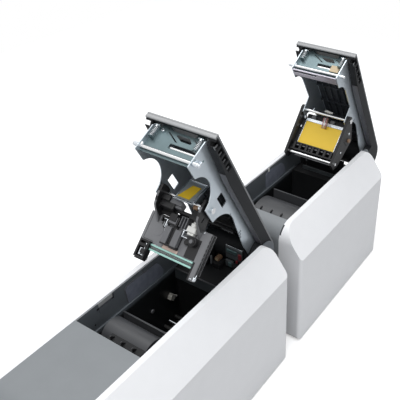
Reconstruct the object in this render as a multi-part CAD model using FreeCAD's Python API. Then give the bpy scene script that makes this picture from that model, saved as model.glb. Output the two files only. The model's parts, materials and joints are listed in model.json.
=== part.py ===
import FreeCAD, Part
import math
import os

from FreeCAD import Vector

os.makedirs("parts", exist_ok=True)

# Whole machine, in millimetres: X across, Y towards the rear, Z up
overall_width = 198.0
body_height = 227.0
opening_width = 112.6
overrun = 2.0
running_clearance = 0.05
part_gap = 0.3

# Side covers
cover_wall = 3.0
rim_width = 8.2
chamfer_drop = 48.7
cover_bottom_gap = 3.0
cover_rear_top_radius = 18.0
cover_bottom_radius = 8.0
cover_plan_radius = 6.0
printer_front_top_radius = 35.0
laminator_front_top_radius = 28.0

# Module reach before and behind the front edge of its closed lid
lid_length = 265.0
printer_front = 146.0
printer_tail = 2.0
laminator_front = 26.8
laminator_tail = 10.2
dock_gap = 16.1

# Base tray and feet
foot_height = 4.0
foot_radius = 8.0
foot_inset = 25.0
foot_side = 80.0
tray_floor = 3.0
tray_lip = 8.0
tray_lip_wall = 2.0

# Side frames, which are the walls of the bay
frame_wall = 2.0
ledge_width = 2.8
ledge_depth = 42.0
frame_front_recess = 3.0
frame_top_radius = 24.0
frame_tail = 24.0
laminator_frame_tail = 29.0
barrel_relief_depth = 60.0
wall_pad_front = 38.0
wall_pad_rear = 62.0
wall_pad_depth = 20.0
wall_pad_proud = 0.5

# Lids, in the closed place
lid_gap = 0.9
lid_width = 110.8
skin_wall = 2.5
skin_lip = 6.4
lid_depth = 20.0
lid_nose_depth = 14.0
lid_nose_rake = 6.5
lid_bow_length = 80.0
lid_side_box = 10.9
barrel_radius = 28.0
barrel_wall = 3.5
lid_front_bar = 3.4
pocket_depth = 8.0
pocket_length = 12.0
pocket_top = 4.2
pocket_height = 8.8
pocket_rib = 3.0
pocket_start = 4.5
pocket_count = 4
printer_lid_angle = 63.3
laminator_lid_angle = 59.8
lower_hinge_back = 16.2
laminator_hinge_depth = 79.1

# Hinge pins
pin_radius = 4.0
pin_head_radius = 7.0
pin_head_length = 2.0
pin_overlap = 2.0

# Lid side plates: places are distances from the lid's front edge and below its top
plate_offset = 41.5
plate_wall = 1.5
plate_front = 5.0
plate_nose_depth = 51.5
plate_top_cut = 12.0
plate_top_start = 12.0
neck_back = 27.0
toe_back = 3.0
toe_depth = 63.5
printer_toe_back = 16.5
laminator_toe_back = 8.3
front_arc_share = 0.2113
front_arc_depth = 66.0
front_arc_radius = 30.0
wide_cut_length = 15.0
wide_cut_slant = 10.0
rear_arc_offset = 36.0
rear_arc_depth = 69.0
rear_arc_radius = 36.0
strip_depth_front = 33.0
strip_depth_rear = 42.0
strip_bend_ahead = 51.0
lug_radius = 14.0
arm_foot_ahead = 19.0
arm_foot_back = 7.0
arm_foot_depth = 14.0
arm_lug_radius = 13.0
plate_window_share = 0.3472
plate_window_length = 23.0
plate_window_depth = 28.0
plate_window_height = 11.5
plate_flange_width = 8.0
plate_flange_start = 40.0
plate_flange_ahead = 40.0
nick_size = 2.4
nick_count = 3
nick_first_share = 0.5245
nick_second_share = 0.7019

# Lid cross plate
cross_plate_y = 12.0
cross_plate_top = 8.0
cross_plate_depth = 48.0
cross_flange_length = 18.0
cross_flange_x = 22.0
cross_window_top = 11.0
cross_window_bottom = 19.0
cross_window_lean = 9.0
cross_window_left = -9.5
cross_window_right = 14.5
cross_window_narrow = 6.5
cross_slot_left = -20.5
cross_slot_right = 20.0
cross_slot_width = 3.6
cross_slot_lean = 19.0
cross_slot_bottom = 22.0
cross_gap_top = 25.5
cross_gap_bottom = 33.0
cross_gap_left = -6.0
cross_gap_right = 36.0

# Rods of the lids
latch_rod_radius = 2.2
latch_rod_y = 9.0
latch_rod_depth = 43.0
latch_rod_half = 52.5
latch_travel = 4.0
tie_rod_radius = 2.5
tie_rod_y = 16.5
tie_rod_depth = 30.0
pivot_rod_radius = 2.5
printer_pivot_share = 0.368
printer_pivot_depth = 54.8
laminator_pivot_share = 0.4366
laminator_pivot_depth = 54.7
printer_pivot_half = 45.0
laminator_pivot_half = 50.8
clip_radius = 4.2
clip_wall = 0.8

# Latch springs
spring_radius = 2.9
spring_wire = 0.45
spring_pitch = 2.1
spring_turn_count = 7
spring_point_count = 24
spring_y = 7.0
spring_top = 11.0
spring_x = 35.0
spring_tab_width = 6.0
spring_tab_wall = 1.2

# Shield plate in front of the print carriage
shield_half = 15.5
shield_x = 2.0
shield_wall = 1.2
shield_top_back = 2.5
shield_bend_ahead = 0.5
shield_bend_depth = 24.0
shield_foot_ahead = 8.5
shield_foot_depth = 61.0
shield_flange = 12.0

# Print carriage: a plate that slopes down and back from the lid
carriage_back = 19.5
carriage_top_depth = 78.0
carriage_slope_angle = 17.2
carriage_half = 51.0
carriage_wall = 3.0
carriage_plate_length = 42.0
carriage_tongue_left = -3.0
carriage_tongue_right = 33.0
carriage_tongue_rise = 9.0
rail_width = 9.0
rail_drop = 11.0
rail_tail_drop = 4.5
rail_tail_start = 57.0
rail_front = 7.0
rail_back = 3.0
rail_start = 0.0
rail_end = 66.0
end_block_left = 46.3
end_block_right = 30.0
end_block_start = 40.0
end_block_wall = 2.4
end_block_recess = 6.0
rail_rib_pitch = 6.0
rail_rib_depth = 2.0
rail_rib_wall = 1.6
rail_rib_count = 9
arm_x = 34.0
arm_wall = 3.0
arm_boss_radius = 6.5
arm_root_length = 14.0
arm_brow_ahead = 15.9
arm_brow_rise = 4.8
arm_waist_ahead = 14.1
arm_waist_drop = 10.0
arm_knee_ahead = 6.5
arm_knee_drop = 23.1
arm_front_radius = 6.0
arm_slot_back = 1.5
arm_slot_wall = 2.6
arm_slot_drop = 12.0
arm_slot_height = 8.0
head_left = 29.6
head_right = 41.6
head_sink_depth = 12.0
head_sink_floor = 4.0
head_fin_wall = 1.4
head_fin_pitch = 3.0
head_groove_count = 3
strip_start = 42.4
strip_end = 51.4
strip_wall = 2.0
clamp_left = -14.0
clamp_right = 12.0
clamp_start = 1.0
clamp_end = 35.0
clamp_base = 3.0
clamp_bar_width = 9.5
clamp_bar_start = 12.0
clamp_bar_depth = 11.0
clamp_box_right = 3.0
clamp_box_end = 9.0
clamp_box_depth = 13.0
bridge_right = -3.0
bridge_back = 5.5
bridge_wall = 10.0
bridge_drop = 5.2
bridge_height = 15.5
plug_left = 17.0
plug_right = 31.0
plug_start = 1.0
plug_end = 11.5
plug_depth = 11.0
cap_x = 31.0
cap_place = 19.0
cap_radius = 6.5
cap_depth = 9.0
cable_radius = 2.8
cable_x = 24.0
cable_rise = 11.0
cable_turn = 6.0

# Heater unit of the laminator
cheek_inner = 43.6
cheek_wall = 5.0
cheek_boss_radius = 8.0
cheek_front_back = 20.3
cheek_rear_back = 42.3
cheek_foot_depth = 139.0
cheek_rear_depth = 126.0
heater_half = 43.6
heater_top_back = 15.3
heater_foot_back = 25.3
heater_rear_back = 44.3
heater_top_depth = 67.0
heater_foot_depth = 112.0
heater_wall = 3.0
heater_fin_depth = 10.0
heater_fin_count = 6
heater_fin_wall = 3.0
label_half = 36.0
label_wall = 0.8
label_margin = 1.5
heater_rod_radius = 2.5
heater_rod_back = 27.5
heater_rod_depth = 130.4
heater_rod_half = 50.6
wire_radius = 1.2
wire_pitch = 3.4
wire_count = 2
wire_x = 2.0
wire_bend = 4.0
wire_inset = 3.0
wire_span = 14.0
wire_rise = 9.0

# Card path rollers
path_depth = 130.0
platen_back = 50.5
platen_radius = 7.5
roller_spacing = 26.0
roller_shaft_radius = 3.0
roller_half = 28.5
pressure_back = 34.3
pressure_radius = 8.0
pressure_depth = 142.5
feed_band_half = 8.0
feed_band_x = 18.0
feed_core_radius = 5.0
retainer_radius = 5.0
retainer_wall = 1.5

# Gears and motors
gear_module = 1.0
gear_tooth_count = 22
pinion_tooth_count = 12
gear_width = 5.0
gear_standoff = 1.7
addendum_share = 0.9
dedendum_share = 1.15
tooth_root_share = 0.30
tooth_pitch_share = 0.225
tooth_tip_share = 0.12
motor_radius = 17.5
motor_end_gap = 5.0
motor_flange = 42.0
motor_flange_wall = 2.0
motor_post_radius = 2.5
motor_standoff = 10.7
motor_shaft_radius = 2.0
motor_post_y = 12.0
motor_post_drop = 14.5
motor_bore_share = 0.6
half_tooth_share = 0.5

# Ribbon hubs
hub_radius = 6.5
hub_length = 7.0
hub_fin_height = 1.6
hub_fin_wall = 1.6
hub_fin_count = 4
hub_shaft_radius = 2.5
supply_ahead = 14.0
supply_depth = 82.0
takeup_back = 68.5
takeup_depth = 88.0

# Drum cover in front of the bay
divider_wall = 2.5
drum_half = 37.0
drum_wall = 2.5
printer_drum_y = 38.0
printer_drum_depth = 43.0
printer_drum_radius = 21.5
printer_ridge_ahead = 24.5
printer_ridge_depth = 44.0
printer_shelf_depth = 60.0
laminator_drum_ahead = 53.7
laminator_drum_depth = 76.0
laminator_drum_radius = 46.0
laminator_ridge_ahead = 9.7
laminator_ridge_depth = 34.0
laminator_shelf_depth = 80.0
divider_rib_wall = 1.2
divider_rib_height = 5.0
divider_rib_length = 6.0
divider_rib_pitch = 19.0
divider_rib_count = 3
divider_rib_depth = 12.0
inner_fit = 0.2

# Rear housing behind the bay
printer_bulkhead_back = 86.5
laminator_bulkhead_back = 79.3
bulkhead_depth = 43.5
housing_wall = 2.5
printer_step_ahead = 32.5
laminator_step_ahead = 37.0
printer_lower_deck = 62.0
laminator_lower_deck = 100.0
card_slot_half = 29.0
card_slot_height = 8.0

# Top panel, front fascia and hopper door
panel_wall = 3.0
panel_skirt = 9.0
panel_skirt_wall = 2.0
fascia_wall = 3.0
hopper_half = 34.0
hopper_top = 97.0
hopper_bottom = 170.0
door_wall = 2.6
door_gap = 0.4
door_pin_radius = 0.8
door_ear_width = 3.0
button_radius = 5.0
button_travel = 1.0
button_x = 36.0
button_y = 96.0
button_flange_radius = 6.4
button_flange_wall = 1.0
switch_post = 2.0
switch_drop = 8.0

# Main board, inlet and rocker
board_half = 44.0
board_front_gap = 14.0
board_tail = 17.0
board_wall = 1.6
board_height = 8.0
board_post_radius = 3.0
board_post_inset = 5.0
chip_height = 3.0
chip_size = 16.0
chip_count = 3
chip_pitch = 24.0
usb_x = 26.0
usb_half = 6.5
usb_height = 11.0
usb_opening_wall = 1.2
usb_opening_depth = 9.0
inlet_x = -30.0
inlet_half = 13.5
inlet_height = 20.0
inlet_height_share = 0.45
inlet_depth = 16.0
inlet_proud = 1.5
inlet_recess = 10.0
inlet_wall = 2.2
inlet_blade_radius = 1.1
inlet_blade_pitch = 7.0
rocker_x = -4.0
rocker_half = 5.0
rocker_height = 16.0
rocker_depth = 6.0
rocker_pivot_radius = 0.8
rocker_tilt_angle = 6.0
rocker_room = 1.8

# Docking sleeve between the two modules
sleeve_half = 34.0
sleeve_height = 20.0

# Values that follow from the sizes above
printer_rear = lid_length + printer_tail
laminator_rear = lid_length + laminator_tail
frame_rear_reach = lid_length + frame_tail
laminator_frame_reach = lid_length + laminator_frame_tail
module_pitch = frame_rear_reach + dock_gap + laminator_front
laminator_hinge_y = lid_length + lower_hinge_back
printer_pivot_y = lid_length * printer_pivot_share
laminator_pivot_y = lid_length * laminator_pivot_share
front_arc_y = lid_length * front_arc_share
neck_front_y = front_arc_y + neck_back
toe_front_y = neck_front_y + toe_back
printer_toe_end = printer_pivot_y + printer_toe_back
laminator_toe_end = laminator_pivot_y + laminator_toe_back
strip_bend_y = lid_length - strip_bend_ahead
arm_foot_front_y = lid_length - arm_foot_ahead
arm_foot_rear_y = lid_length + arm_foot_back
plate_window_y = lid_length * plate_window_share
plate_flange_end = lid_length - plate_flange_ahead
nick_first_y = lid_length * nick_first_share
nick_second_y = lid_length * nick_second_share
shield_top_y = printer_pivot_y + shield_top_back
shield_bend_y = printer_pivot_y - shield_bend_ahead
shield_foot_y = printer_pivot_y - shield_foot_ahead
carriage_top_y = printer_pivot_y + carriage_back
cheek_front_y = laminator_pivot_y + cheek_front_back
cheek_rear_y = laminator_pivot_y + cheek_rear_back
heater_front_top_y = laminator_pivot_y + heater_top_back
heater_front_foot_y = laminator_pivot_y + heater_foot_back
heater_rear_y = laminator_pivot_y + heater_rear_back
heater_rod_y = laminator_pivot_y + heater_rod_back
platen_y = printer_pivot_y + platen_back
feed_y = platen_y + roller_spacing
pressure_y = laminator_pivot_y + pressure_back
supply_y = printer_pivot_y - supply_ahead
takeup_y = printer_pivot_y + takeup_back
printer_ridge_y = printer_pivot_y - printer_ridge_ahead
laminator_drum_y = laminator_pivot_y - laminator_drum_ahead
laminator_ridge_y = laminator_pivot_y - laminator_ridge_ahead
printer_bulkhead_y = printer_pivot_y + printer_bulkhead_back
laminator_bulkhead_y = laminator_pivot_y + laminator_bulkhead_back
printer_step_y = lid_length - printer_step_ahead
laminator_step_y = lid_length - laminator_step_ahead
board_rear_y = frame_rear_reach - board_tail
board_front_y = printer_bulkhead_y + housing_wall + board_front_gap
inlet_room = body_height - foot_height - tray_floor - path_depth - sleeve_height / 2
inlet_z = inlet_room * inlet_height_share
half_width = overall_width / 2
half_opening = opening_width / 2
half_lid = lid_width / 2
rim_x = half_opening + rim_width
chamfer_angle = math.atan2(chamfer_drop, half_width - rim_x)
tray_top = -body_height + foot_height + tray_floor
tray_bottom = -body_height + foot_height
frame_inner = half_opening - ledge_width
frame_outer = half_opening + frame_wall
frame_top = -cover_wall
core_half = frame_inner - inner_fit
motor_length = half_width - cover_wall - motor_end_gap - frame_outer - motor_standoff
printer_hinge_y = lid_length
printer_hinge_depth = barrel_radius
gear_radius = gear_module * gear_tooth_count / 2
pinion_radius = gear_module * pinion_tooth_count / 2
gear_spacing = (feed_y - platen_y) / 2
roller_z = -path_depth - platen_radius
pinion_y = platen_y + gear_spacing
pinion_z = roller_z - math.sqrt((gear_radius + pinion_radius) ** 2 - gear_spacing ** 2)
gear_x = frame_outer + gear_standoff
open_turn = math.radians(laminator_lid_angle)
barrel_reach_y = lid_length - laminator_hinge_y
barrel_reach_z = laminator_hinge_depth - barrel_radius
open_barrel_y = (laminator_hinge_y + barrel_reach_y * math.cos(open_turn)
                 + barrel_reach_z * math.sin(open_turn))
door_thick = door_wall + door_gap
machine_front = -printer_front - door_thick
machine_rear = module_pitch + open_barrel_y + barrel_radius
origin_y = (machine_front + machine_rear) / 2


def block(x0, x1, y0, y1, z0, z1):
    return Part.makeBox(x1 - x0, y1 - y0, z1 - z0, Vector(x0, y0, z0))


def rod(radius, x0, x1, y, z):
    return Part.makeCylinder(radius, x1 - x0, Vector(x0, y, z), Vector(1, 0, 0))


def rounded_wire(points, place):
    """Closed outline through (a, b, corner radius) points; place turns (a, b) into a vector."""
    corners = []
    count = len(points)
    for index in range(count):
        before = points[index - 1]
        here = points[index]
        after = points[(index + 1) % count]
        ax, ay = before[0] - here[0], before[1] - here[1]
        bx, by = after[0] - here[0], after[1] - here[1]
        length_a, length_b = math.hypot(ax, ay), math.hypot(bx, by)
        ax, ay, bx, by = ax / length_a, ay / length_a, bx / length_b, by / length_b
        if here[2] == 0:
            corners.append((here[:2], here[:2], None))
            continue
        half_turn = math.acos(max(-1, min(1, ax * bx + ay * by))) / 2
        run = here[2] / math.tan(half_turn)
        reach = here[2] / math.sin(half_turn)
        middle_x, middle_y = ax + bx, ay + by
        size = math.hypot(middle_x, middle_y)
        inset = (reach - here[2]) / size
        corners.append(((here[0] + ax * run, here[1] + ay * run),
                        (here[0] + bx * run, here[1] + by * run),
                        (here[0] + middle_x * inset, here[1] + middle_y * inset)))
    edges = []
    for index, (start, end, middle) in enumerate(corners):
        if middle:
            edges.append(Part.Arc(place(*start), place(*middle), place(*end)).toShape())
        following = corners[(index + 1) % count][0]
        if math.dist(end, following) > FreeCAD.Base.Precision.confusion():
            edges.append(Part.makeLine(place(*end), place(*following)))
    return Part.Wire(edges)


def side_solid(points, x0, x1):
    """Outline in Y and Z, run across from x0 to x1."""
    wire = rounded_wire(points, lambda y, z: Vector(x0, y, z))
    return Part.Face(wire).extrude(Vector(x1 - x0, 0, 0))


def front_solid(points, y0, y1):
    """Outline in X and Z, run back from y0 to y1."""
    wire = rounded_wire(points, lambda x, z: Vector(x, y0, z))
    return Part.Face(wire).extrude(Vector(0, y1 - y0, 0))


def plan_solid(points, z0, z1):
    """Outline in X and Y, run up from z0 to z1."""
    wire = rounded_wire(points, lambda x, y: Vector(x, y, z0))
    return Part.Face(wire).extrude(Vector(0, 0, z1 - z0))


def joined(shapes):
    return shapes[0].fuse(shapes[1:]).removeSplitter()


def without(shape, tools):
    return shape.cut(tools)


def mirrored(shape):
    return shape.mirror(Vector(0, 0, 0), Vector(1, 0, 0))


def pipe(edges, radius, start, direction):
    """Round tube along edges that start at start and head in direction."""
    ring = Part.Wire([Part.makeCircle(radius, start, direction)])
    return Part.Wire(edges).makePipeShell([ring], True, False)


def bent_path(points, radii):
    """Straight runs between points, joined by tangent arcs of the given radii."""
    edges = []
    last = points[0]
    for index in range(1, len(points) - 1):
        corner = points[index]
        back = (points[index - 1] - corner).normalize()
        ahead = (points[index + 1] - corner).normalize()
        half_turn = back.getAngle(ahead) / 2
        radius = radii[index - 1]
        run = radius / math.tan(half_turn)
        start = corner + back * run
        end = corner + ahead * run
        middle = corner + (back + ahead).normalize() * (radius / math.sin(half_turn) - radius)
        edges.append(Part.makeLine(last, start))
        edges.append(Part.Arc(start, middle, end).toShape())
        last = end
    edges.append(Part.makeLine(last, points[-1]))
    return edges


def arc_from_corner(start, corner, end):
    """Arc that is tangent to the lines start-corner and corner-end."""
    chord = end - start
    middle = start + chord * 0.5
    rise = corner - middle
    half_turn = math.atan2(2 * rise.Length, chord.Length)
    sagitta = chord.Length / 2 * math.tan(half_turn / 2)
    return Part.Arc(start, middle + rise.normalize() * sagitta, end).toShape()


def biarc(start, tangent, end, end_tangent):
    """Two tangent arcs between two points with given unit directions."""
    span = end - start
    both = tangent + end_tangent
    a = both.dot(both) - 4
    b = -2 * span.dot(both)
    c = span.dot(span)
    reach = (-b - math.sqrt(b * b - 4 * a * c)) / (2 * a)
    first = start + tangent * reach
    second = end - end_tangent * reach
    joint = (first + second) * 0.5
    return [arc_from_corner(start, first, joint), arc_from_corner(joint, second, end)]


# Side covers

def cover_section(inset, low, inner):
    """Section of a right cover in X and Z, drawn inset from its outer skin."""
    rim = rim_x - inset * math.tan(chamfer_angle / 2)
    side = half_width - inset
    crease = -inset - math.tan(chamfer_angle) * (side - rim)
    return [(inner, low, 0), (inner, -inset, 0), (rim, -inset, 0), (side, crease, 0), (side, low, 0)]


def cover_body(module, inset, inner, low):
    front = -module["front"] + inset
    rear = module["rear"] - inset
    top = -inset
    front_radius = module["front_top_radius"] - inset
    rear_radius = cover_rear_top_radius - inset
    plan_radius = cover_plan_radius - inset
    section = front_solid(cover_section(inset, low, inner), front, rear)
    outline = side_solid([(front, low, cover_bottom_radius - inset), (front, top, front_radius),
                          (rear, top, rear_radius), (rear, low, cover_bottom_radius - inset)],
                         inner, half_width)
    side = half_width - inset
    plan = plan_solid([(inner, front, 0), (side, front, plan_radius), (side, rear, plan_radius),
                       (inner, rear, 0)], low, top)
    return section.common(outline).common(plan)


def right_cover(module):
    low = -body_height + cover_bottom_gap
    outer = cover_body(module, 0, half_opening, low)
    inner = cover_body(module, cover_wall, half_opening - overrun, low - cover_bottom_radius)
    passage = block(half_opening - overrun, frame_outer + inner_fit, -module["front"] + cover_wall,
                    module["rear"] + overrun, low - overrun, -cover_wall)
    head = rod(pin_head_radius + part_gap, half_opening, frame_outer + pin_head_length + part_gap,
               module["hinge_y"], -module["hinge_depth"])
    return without(outer, [inner, passage, head])


# Base tray, feet and side frames

def base_tray(module):
    front = -module["front"] + cover_wall
    rear = module["rear"] - cover_wall
    side = half_width - cover_wall
    corner = cover_plan_radius - cover_wall
    floor = plan_solid([(-side, front, corner), (side, front, corner), (side, rear, corner),
                        (-side, rear, corner)], tray_bottom, tray_top)
    tail = block(-frame_outer, frame_outer, front, module["frame_rear"], tray_bottom, tray_top)
    lips = [block(sign * side - (tray_lip_wall if sign > 0 else 0),
                  sign * side + (0 if sign > 0 else tray_lip_wall), front + corner, rear - corner,
                  tray_bottom, tray_top + tray_lip) for sign in (-1, 1)]
    return joined([floor, tail] + lips)


def feet(module):
    places = []
    for side in (-foot_side, foot_side):
        for y in (-module["front"] + foot_inset, module["rear"] - foot_inset):
            places.append(Part.makeCylinder(foot_radius, foot_height, Vector(side, y, -body_height)))
    return places


def right_frame(module):
    front = -module["front"] + frame_front_recess
    rear = module["frame_rear"]
    outline = [(front, tray_top, 0), (front, frame_top, module["front_top_radius"] - cover_wall),
               (rear, frame_top, frame_top_radius), (rear, tray_top, 0)]
    upper = side_solid(outline, half_opening, frame_outer)
    inner = side_solid(outline, frame_inner, half_opening)
    inner = inner.common(block(frame_inner, half_opening, front, rear, tray_top, -ledge_depth))
    wall = joined([upper, inner])
    holes = [rod(pin_radius, frame_inner - overrun, frame_outer + overrun,
                 module["hinge_y"], -module["hinge_depth"])]
    reach = math.hypot(module["hinge_y"] - lid_length, module["hinge_depth"] - barrel_radius)
    sweep = rod(reach + barrel_radius + part_gap, frame_inner - overrun, half_opening,
                module["hinge_y"], -module["hinge_depth"])
    holes.append(sweep.common(block(frame_inner - overrun, half_opening, 0, rear + overrun,
                                    -barrel_relief_depth, 0)))
    for y, z in module["shafts"]:
        holes.append(rod(roller_shaft_radius + running_clearance, frame_inner - overrun,
                         frame_outer + overrun, y, z))
    return without(wall, holes)


def left_frame(module):
    wall = mirrored(right_frame(module))
    pad = block(-half_opening, -half_opening + wall_pad_proud, wall_pad_front, wall_pad_rear,
                -wall_pad_depth, frame_top)
    wall = joined([wall, pad])
    holes = [rod(hub_shaft_radius + running_clearance, -frame_outer - overrun,
                 -frame_inner + overrun, y, -depth) for y, depth in module["hubs"]]
    return without(wall, holes) if holes else wall


def hinge_pins(module):
    inner = plate_offset - plate_wall / 2 - pin_overlap
    y, z = module["hinge_y"], -module["hinge_depth"]
    shaft = rod(pin_radius, inner, frame_outer, y, z)
    head = rod(pin_head_radius, frame_outer, frame_outer + pin_head_length, y, z)
    pin = joined([shaft, head])
    return [pin, mirrored(pin)]


# Bay: drum cover in front, rear housing behind

def drum_cover(module):
    ridge_y, ridge_z = module["ridge_y"], -module["ridge_depth"]
    shelf_z = -module["shelf_depth"]
    ridge_half = module["ridge_half"]
    front = -lid_gap - divider_wall
    shelf = block(-core_half, core_half, front, ridge_y + divider_wall, shelf_z, shelf_z + divider_wall)
    front_wall = block(-core_half, core_half, front, front + divider_wall, shelf_z, -panel_wall - part_gap)
    ridge = block(-ridge_half, ridge_half, ridge_y, ridge_y + divider_wall, shelf_z, ridge_z)
    wall = block(-core_half, core_half, ridge_y, ridge_y + divider_wall, tray_top, shelf_z + divider_wall)
    drum_y, drum_z, radius = module["drum_y"], -module["drum_depth"], module["drum_radius"]
    drum = rod(radius, -drum_half, drum_half, drum_y, drum_z)
    hollow = rod(radius - drum_wall, -drum_half + drum_wall, drum_half - drum_wall, drum_y, drum_z)
    keep = block(-core_half, core_half, front, ridge_y + divider_wall, shelf_z, -panel_wall)
    drum = drum.cut(hollow).common(keep)
    ribs = []
    for index in range(divider_rib_count):
        x = (index - (divider_rib_count - 1) / 2) * divider_rib_pitch
        ribs.append(block(x - divider_rib_wall / 2, x + divider_rib_wall / 2, front,
                          front + divider_wall + divider_rib_length,
                          -divider_rib_depth - divider_rib_height, -divider_rib_depth))
    slot = block(-card_slot_half, card_slot_half, ridge_y - overrun, ridge_y + divider_wall + overrun,
                 -path_depth - card_slot_height / 2, -path_depth + card_slot_height / 2)
    return without(joined([shelf, front_wall, ridge, wall, drum] + ribs), [slot])


def rear_housing(module, cutters):
    bulkhead_y = module["bulkhead_y"]
    step_y = module["step_y"]
    rear = module["housing_rear"]
    lower = -module["lower_deck"]
    pieces = [
        block(-core_half, core_half, bulkhead_y, bulkhead_y + housing_wall, tray_top, -bulkhead_depth),
        block(-core_half, core_half, bulkhead_y, step_y + housing_wall,
              -bulkhead_depth - housing_wall, -bulkhead_depth),
        block(-core_half, core_half, step_y, step_y + housing_wall, lower - housing_wall, -bulkhead_depth),
        block(-core_half, core_half, step_y, rear, lower - housing_wall, lower),
        block(-core_half, core_half, rear - housing_wall, rear, tray_top, lower)]
    slot = block(-card_slot_half, card_slot_half, bulkhead_y - overrun, rear + overrun,
                 -path_depth - card_slot_height / 2, -path_depth + card_slot_height / 2)
    return without(joined(pieces), [slot] + cutters)


# Lids, drawn closed

def turned_open(shape, module):
    moved = shape.copy()
    moved.rotate(Vector(0, module["hinge_y"], -module["hinge_depth"]), Vector(1, 0, 0), -module["open_angle"])
    return moved


def lid_skin(module):
    outer = side_solid([(0, 0, 0), (lid_length, 0, 0), (lid_length, -skin_lip, 0), (0, -skin_lip, 0)],
                       -half_lid, half_lid)
    barrel = rod(barrel_radius, -half_lid, half_lid, lid_length, -barrel_radius)
    bore = rod(barrel_radius - skin_wall, -half_lid, half_lid, lid_length, -barrel_radius)
    quarter = block(-half_lid, half_lid, lid_length, lid_length + barrel_radius, -barrel_radius, 0)
    nose = block(-half_lid, half_lid, skin_wall, lid_length + overrun, -skin_lip, -skin_wall)
    top = outer.cut(nose).common(block(-half_lid, half_lid, 0, lid_length, -skin_lip, 0))
    return joined([top, barrel.cut(bore).common(quarter)])


def lid_frame(module):
    inner_half = half_lid - lid_side_box
    core_radius = barrel_radius - skin_wall
    front = skin_wall + part_gap / 2
    rails = side_solid([(front, -skin_wall, 0), (lid_length, -skin_wall, 0), (lid_length, -lid_depth, 0),
                        (lid_bow_length, -lid_depth, 0), (front + lid_nose_rake, -lid_nose_depth, 0),
                        (front, -skin_lip, 0)], -half_lid, half_lid)
    barrel = rod(core_radius, -half_lid, half_lid, lid_length, -barrel_radius)
    body = joined([rails, barrel])
    tray = block(-inner_half, inner_half, front + lid_front_bar, lid_length, -lid_depth - overrun, 0)
    relief = block(-inner_half, inner_half, 0, front + lid_front_bar + overrun,
                   -lid_depth - overrun, -skin_lip)
    hollow = rod(core_radius - barrel_wall, -inner_half, inner_half, lid_length, -barrel_radius)
    tools = [tray, relief, hollow]
    for index in range(pocket_count):
        start = pocket_start + index * (pocket_length + pocket_rib)
        for side in (-1, 1):
            outer, inner = side * (half_lid + overrun), side * (half_lid - pocket_depth)
            tools.append(block(min(outer, inner), max(outer, inner), start, start + pocket_length,
                               -pocket_top - pocket_height, -pocket_top))
    reach = plate_wall / 2 + part_gap
    slot_rear = barrel_radius if module["plate_arm"] else lug_radius + part_gap
    for side in (-1, 1):
        tools.append(block(side * plate_offset - reach, side * plate_offset + reach,
                           lid_length - barrel_radius - overrun, lid_length + slot_rear,
                           -2 * barrel_radius - overrun, -lid_depth / 2))
    if not module["plate_arm"]:
        tools.append(rod(pin_radius + running_clearance, -half_lid - overrun, half_lid + overrun,
                         module["hinge_y"], -module["hinge_depth"]))
    return without(body, tools)


def lid_right_plate(module):
    x0, x1 = plate_offset - plate_wall / 2, plate_offset + plate_wall / 2
    toe_end = module["toe_end"]
    rear_arc_y = toe_end + rear_arc_offset
    outline = [(plate_top_start, -skin_wall, 0), (plate_front, -plate_top_cut, 0),
               (plate_front, -plate_nose_depth, plate_wall), (neck_front_y, -plate_nose_depth, 0),
               (toe_front_y, -toe_depth, plate_wall), (toe_end, -toe_depth, 0),
               (rear_arc_y, -strip_depth_front, 0), (strip_bend_y, -strip_depth_rear, 0),
               (lid_length, -strip_depth_rear, 0), (lid_length, -skin_wall, 0)]
    plate = side_solid(outline, x0, x1)
    solids = [plate]
    y, z = module["hinge_y"], -module["hinge_depth"]
    if module["plate_arm"]:
        side = arm_lug_radius * math.cos(open_turn / 2)
        solids.append(side_solid([(arm_foot_front_y, -arm_foot_depth, 0),
                                  (arm_foot_rear_y, -arm_foot_depth, 0),
                                  (y + side, z + arm_lug_radius / 2, 0),
                                  (y - side, z - arm_lug_radius / 2, 0)], x0, x1))
        solids.append(rod(arm_lug_radius, x0, x1, y, z))
    else:
        solids.append(rod(lug_radius, x0, x1, y, z))
    solids.append(block(x0 - plate_flange_width, x1, plate_flange_start, plate_flange_end,
                        -skin_wall - plate_wall, -skin_wall))
    plate = joined(solids)
    slot_reach = latch_rod_radius + running_clearance
    slot_z = -latch_rod_depth
    tools = [rod(front_arc_radius, x0 - overrun, x1 + overrun, front_arc_y, -front_arc_depth),
             rod(rear_arc_radius, x0 - overrun, x1 + overrun, rear_arc_y, -rear_arc_depth),
             rod(pin_radius + running_clearance, x0 - overrun, x1 + overrun, y, z),
             rod(pivot_rod_radius, x0 - overrun, x1 + overrun, module["pivot_y"], -module["pivot_depth"]),
             rod(slot_reach, x0 - overrun, x1 + overrun, latch_rod_y, slot_z),
             rod(slot_reach, x0 - overrun, x1 + overrun, latch_rod_y, slot_z + latch_travel),
             block(x0 - overrun, x1 + overrun, latch_rod_y - slot_reach, latch_rod_y + slot_reach,
                   slot_z, slot_z + latch_travel)]
    if module["wide_cut"]:
        level = front_arc_radius - front_arc_depth
        corner = front_arc_y + front_arc_radius + wide_cut_length
        tools.append(side_solid([(front_arc_y, level, 0), (corner, level, 0),
                                 (corner + wide_cut_slant, -front_arc_depth, 0),
                                 (front_arc_y, -front_arc_depth, 0)], x0 - overrun, x1 + overrun))
    else:
        tools.append(block(x0 - overrun, x1 + overrun, plate_window_y,
                           plate_window_y + plate_window_length,
                           -plate_window_depth - plate_window_height, -plate_window_depth))
    for first in (nick_first_y, nick_second_y):
        for index in range(nick_count):
            start = first + index * 2 * nick_size
            level = -strip_depth_front - nick_size * index
            tools.append(block(x0 - overrun, x1 + overrun, start, start + nick_size,
                               level - 2 * nick_size, level + nick_size / 2))
    return without(plate, tools)


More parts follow.
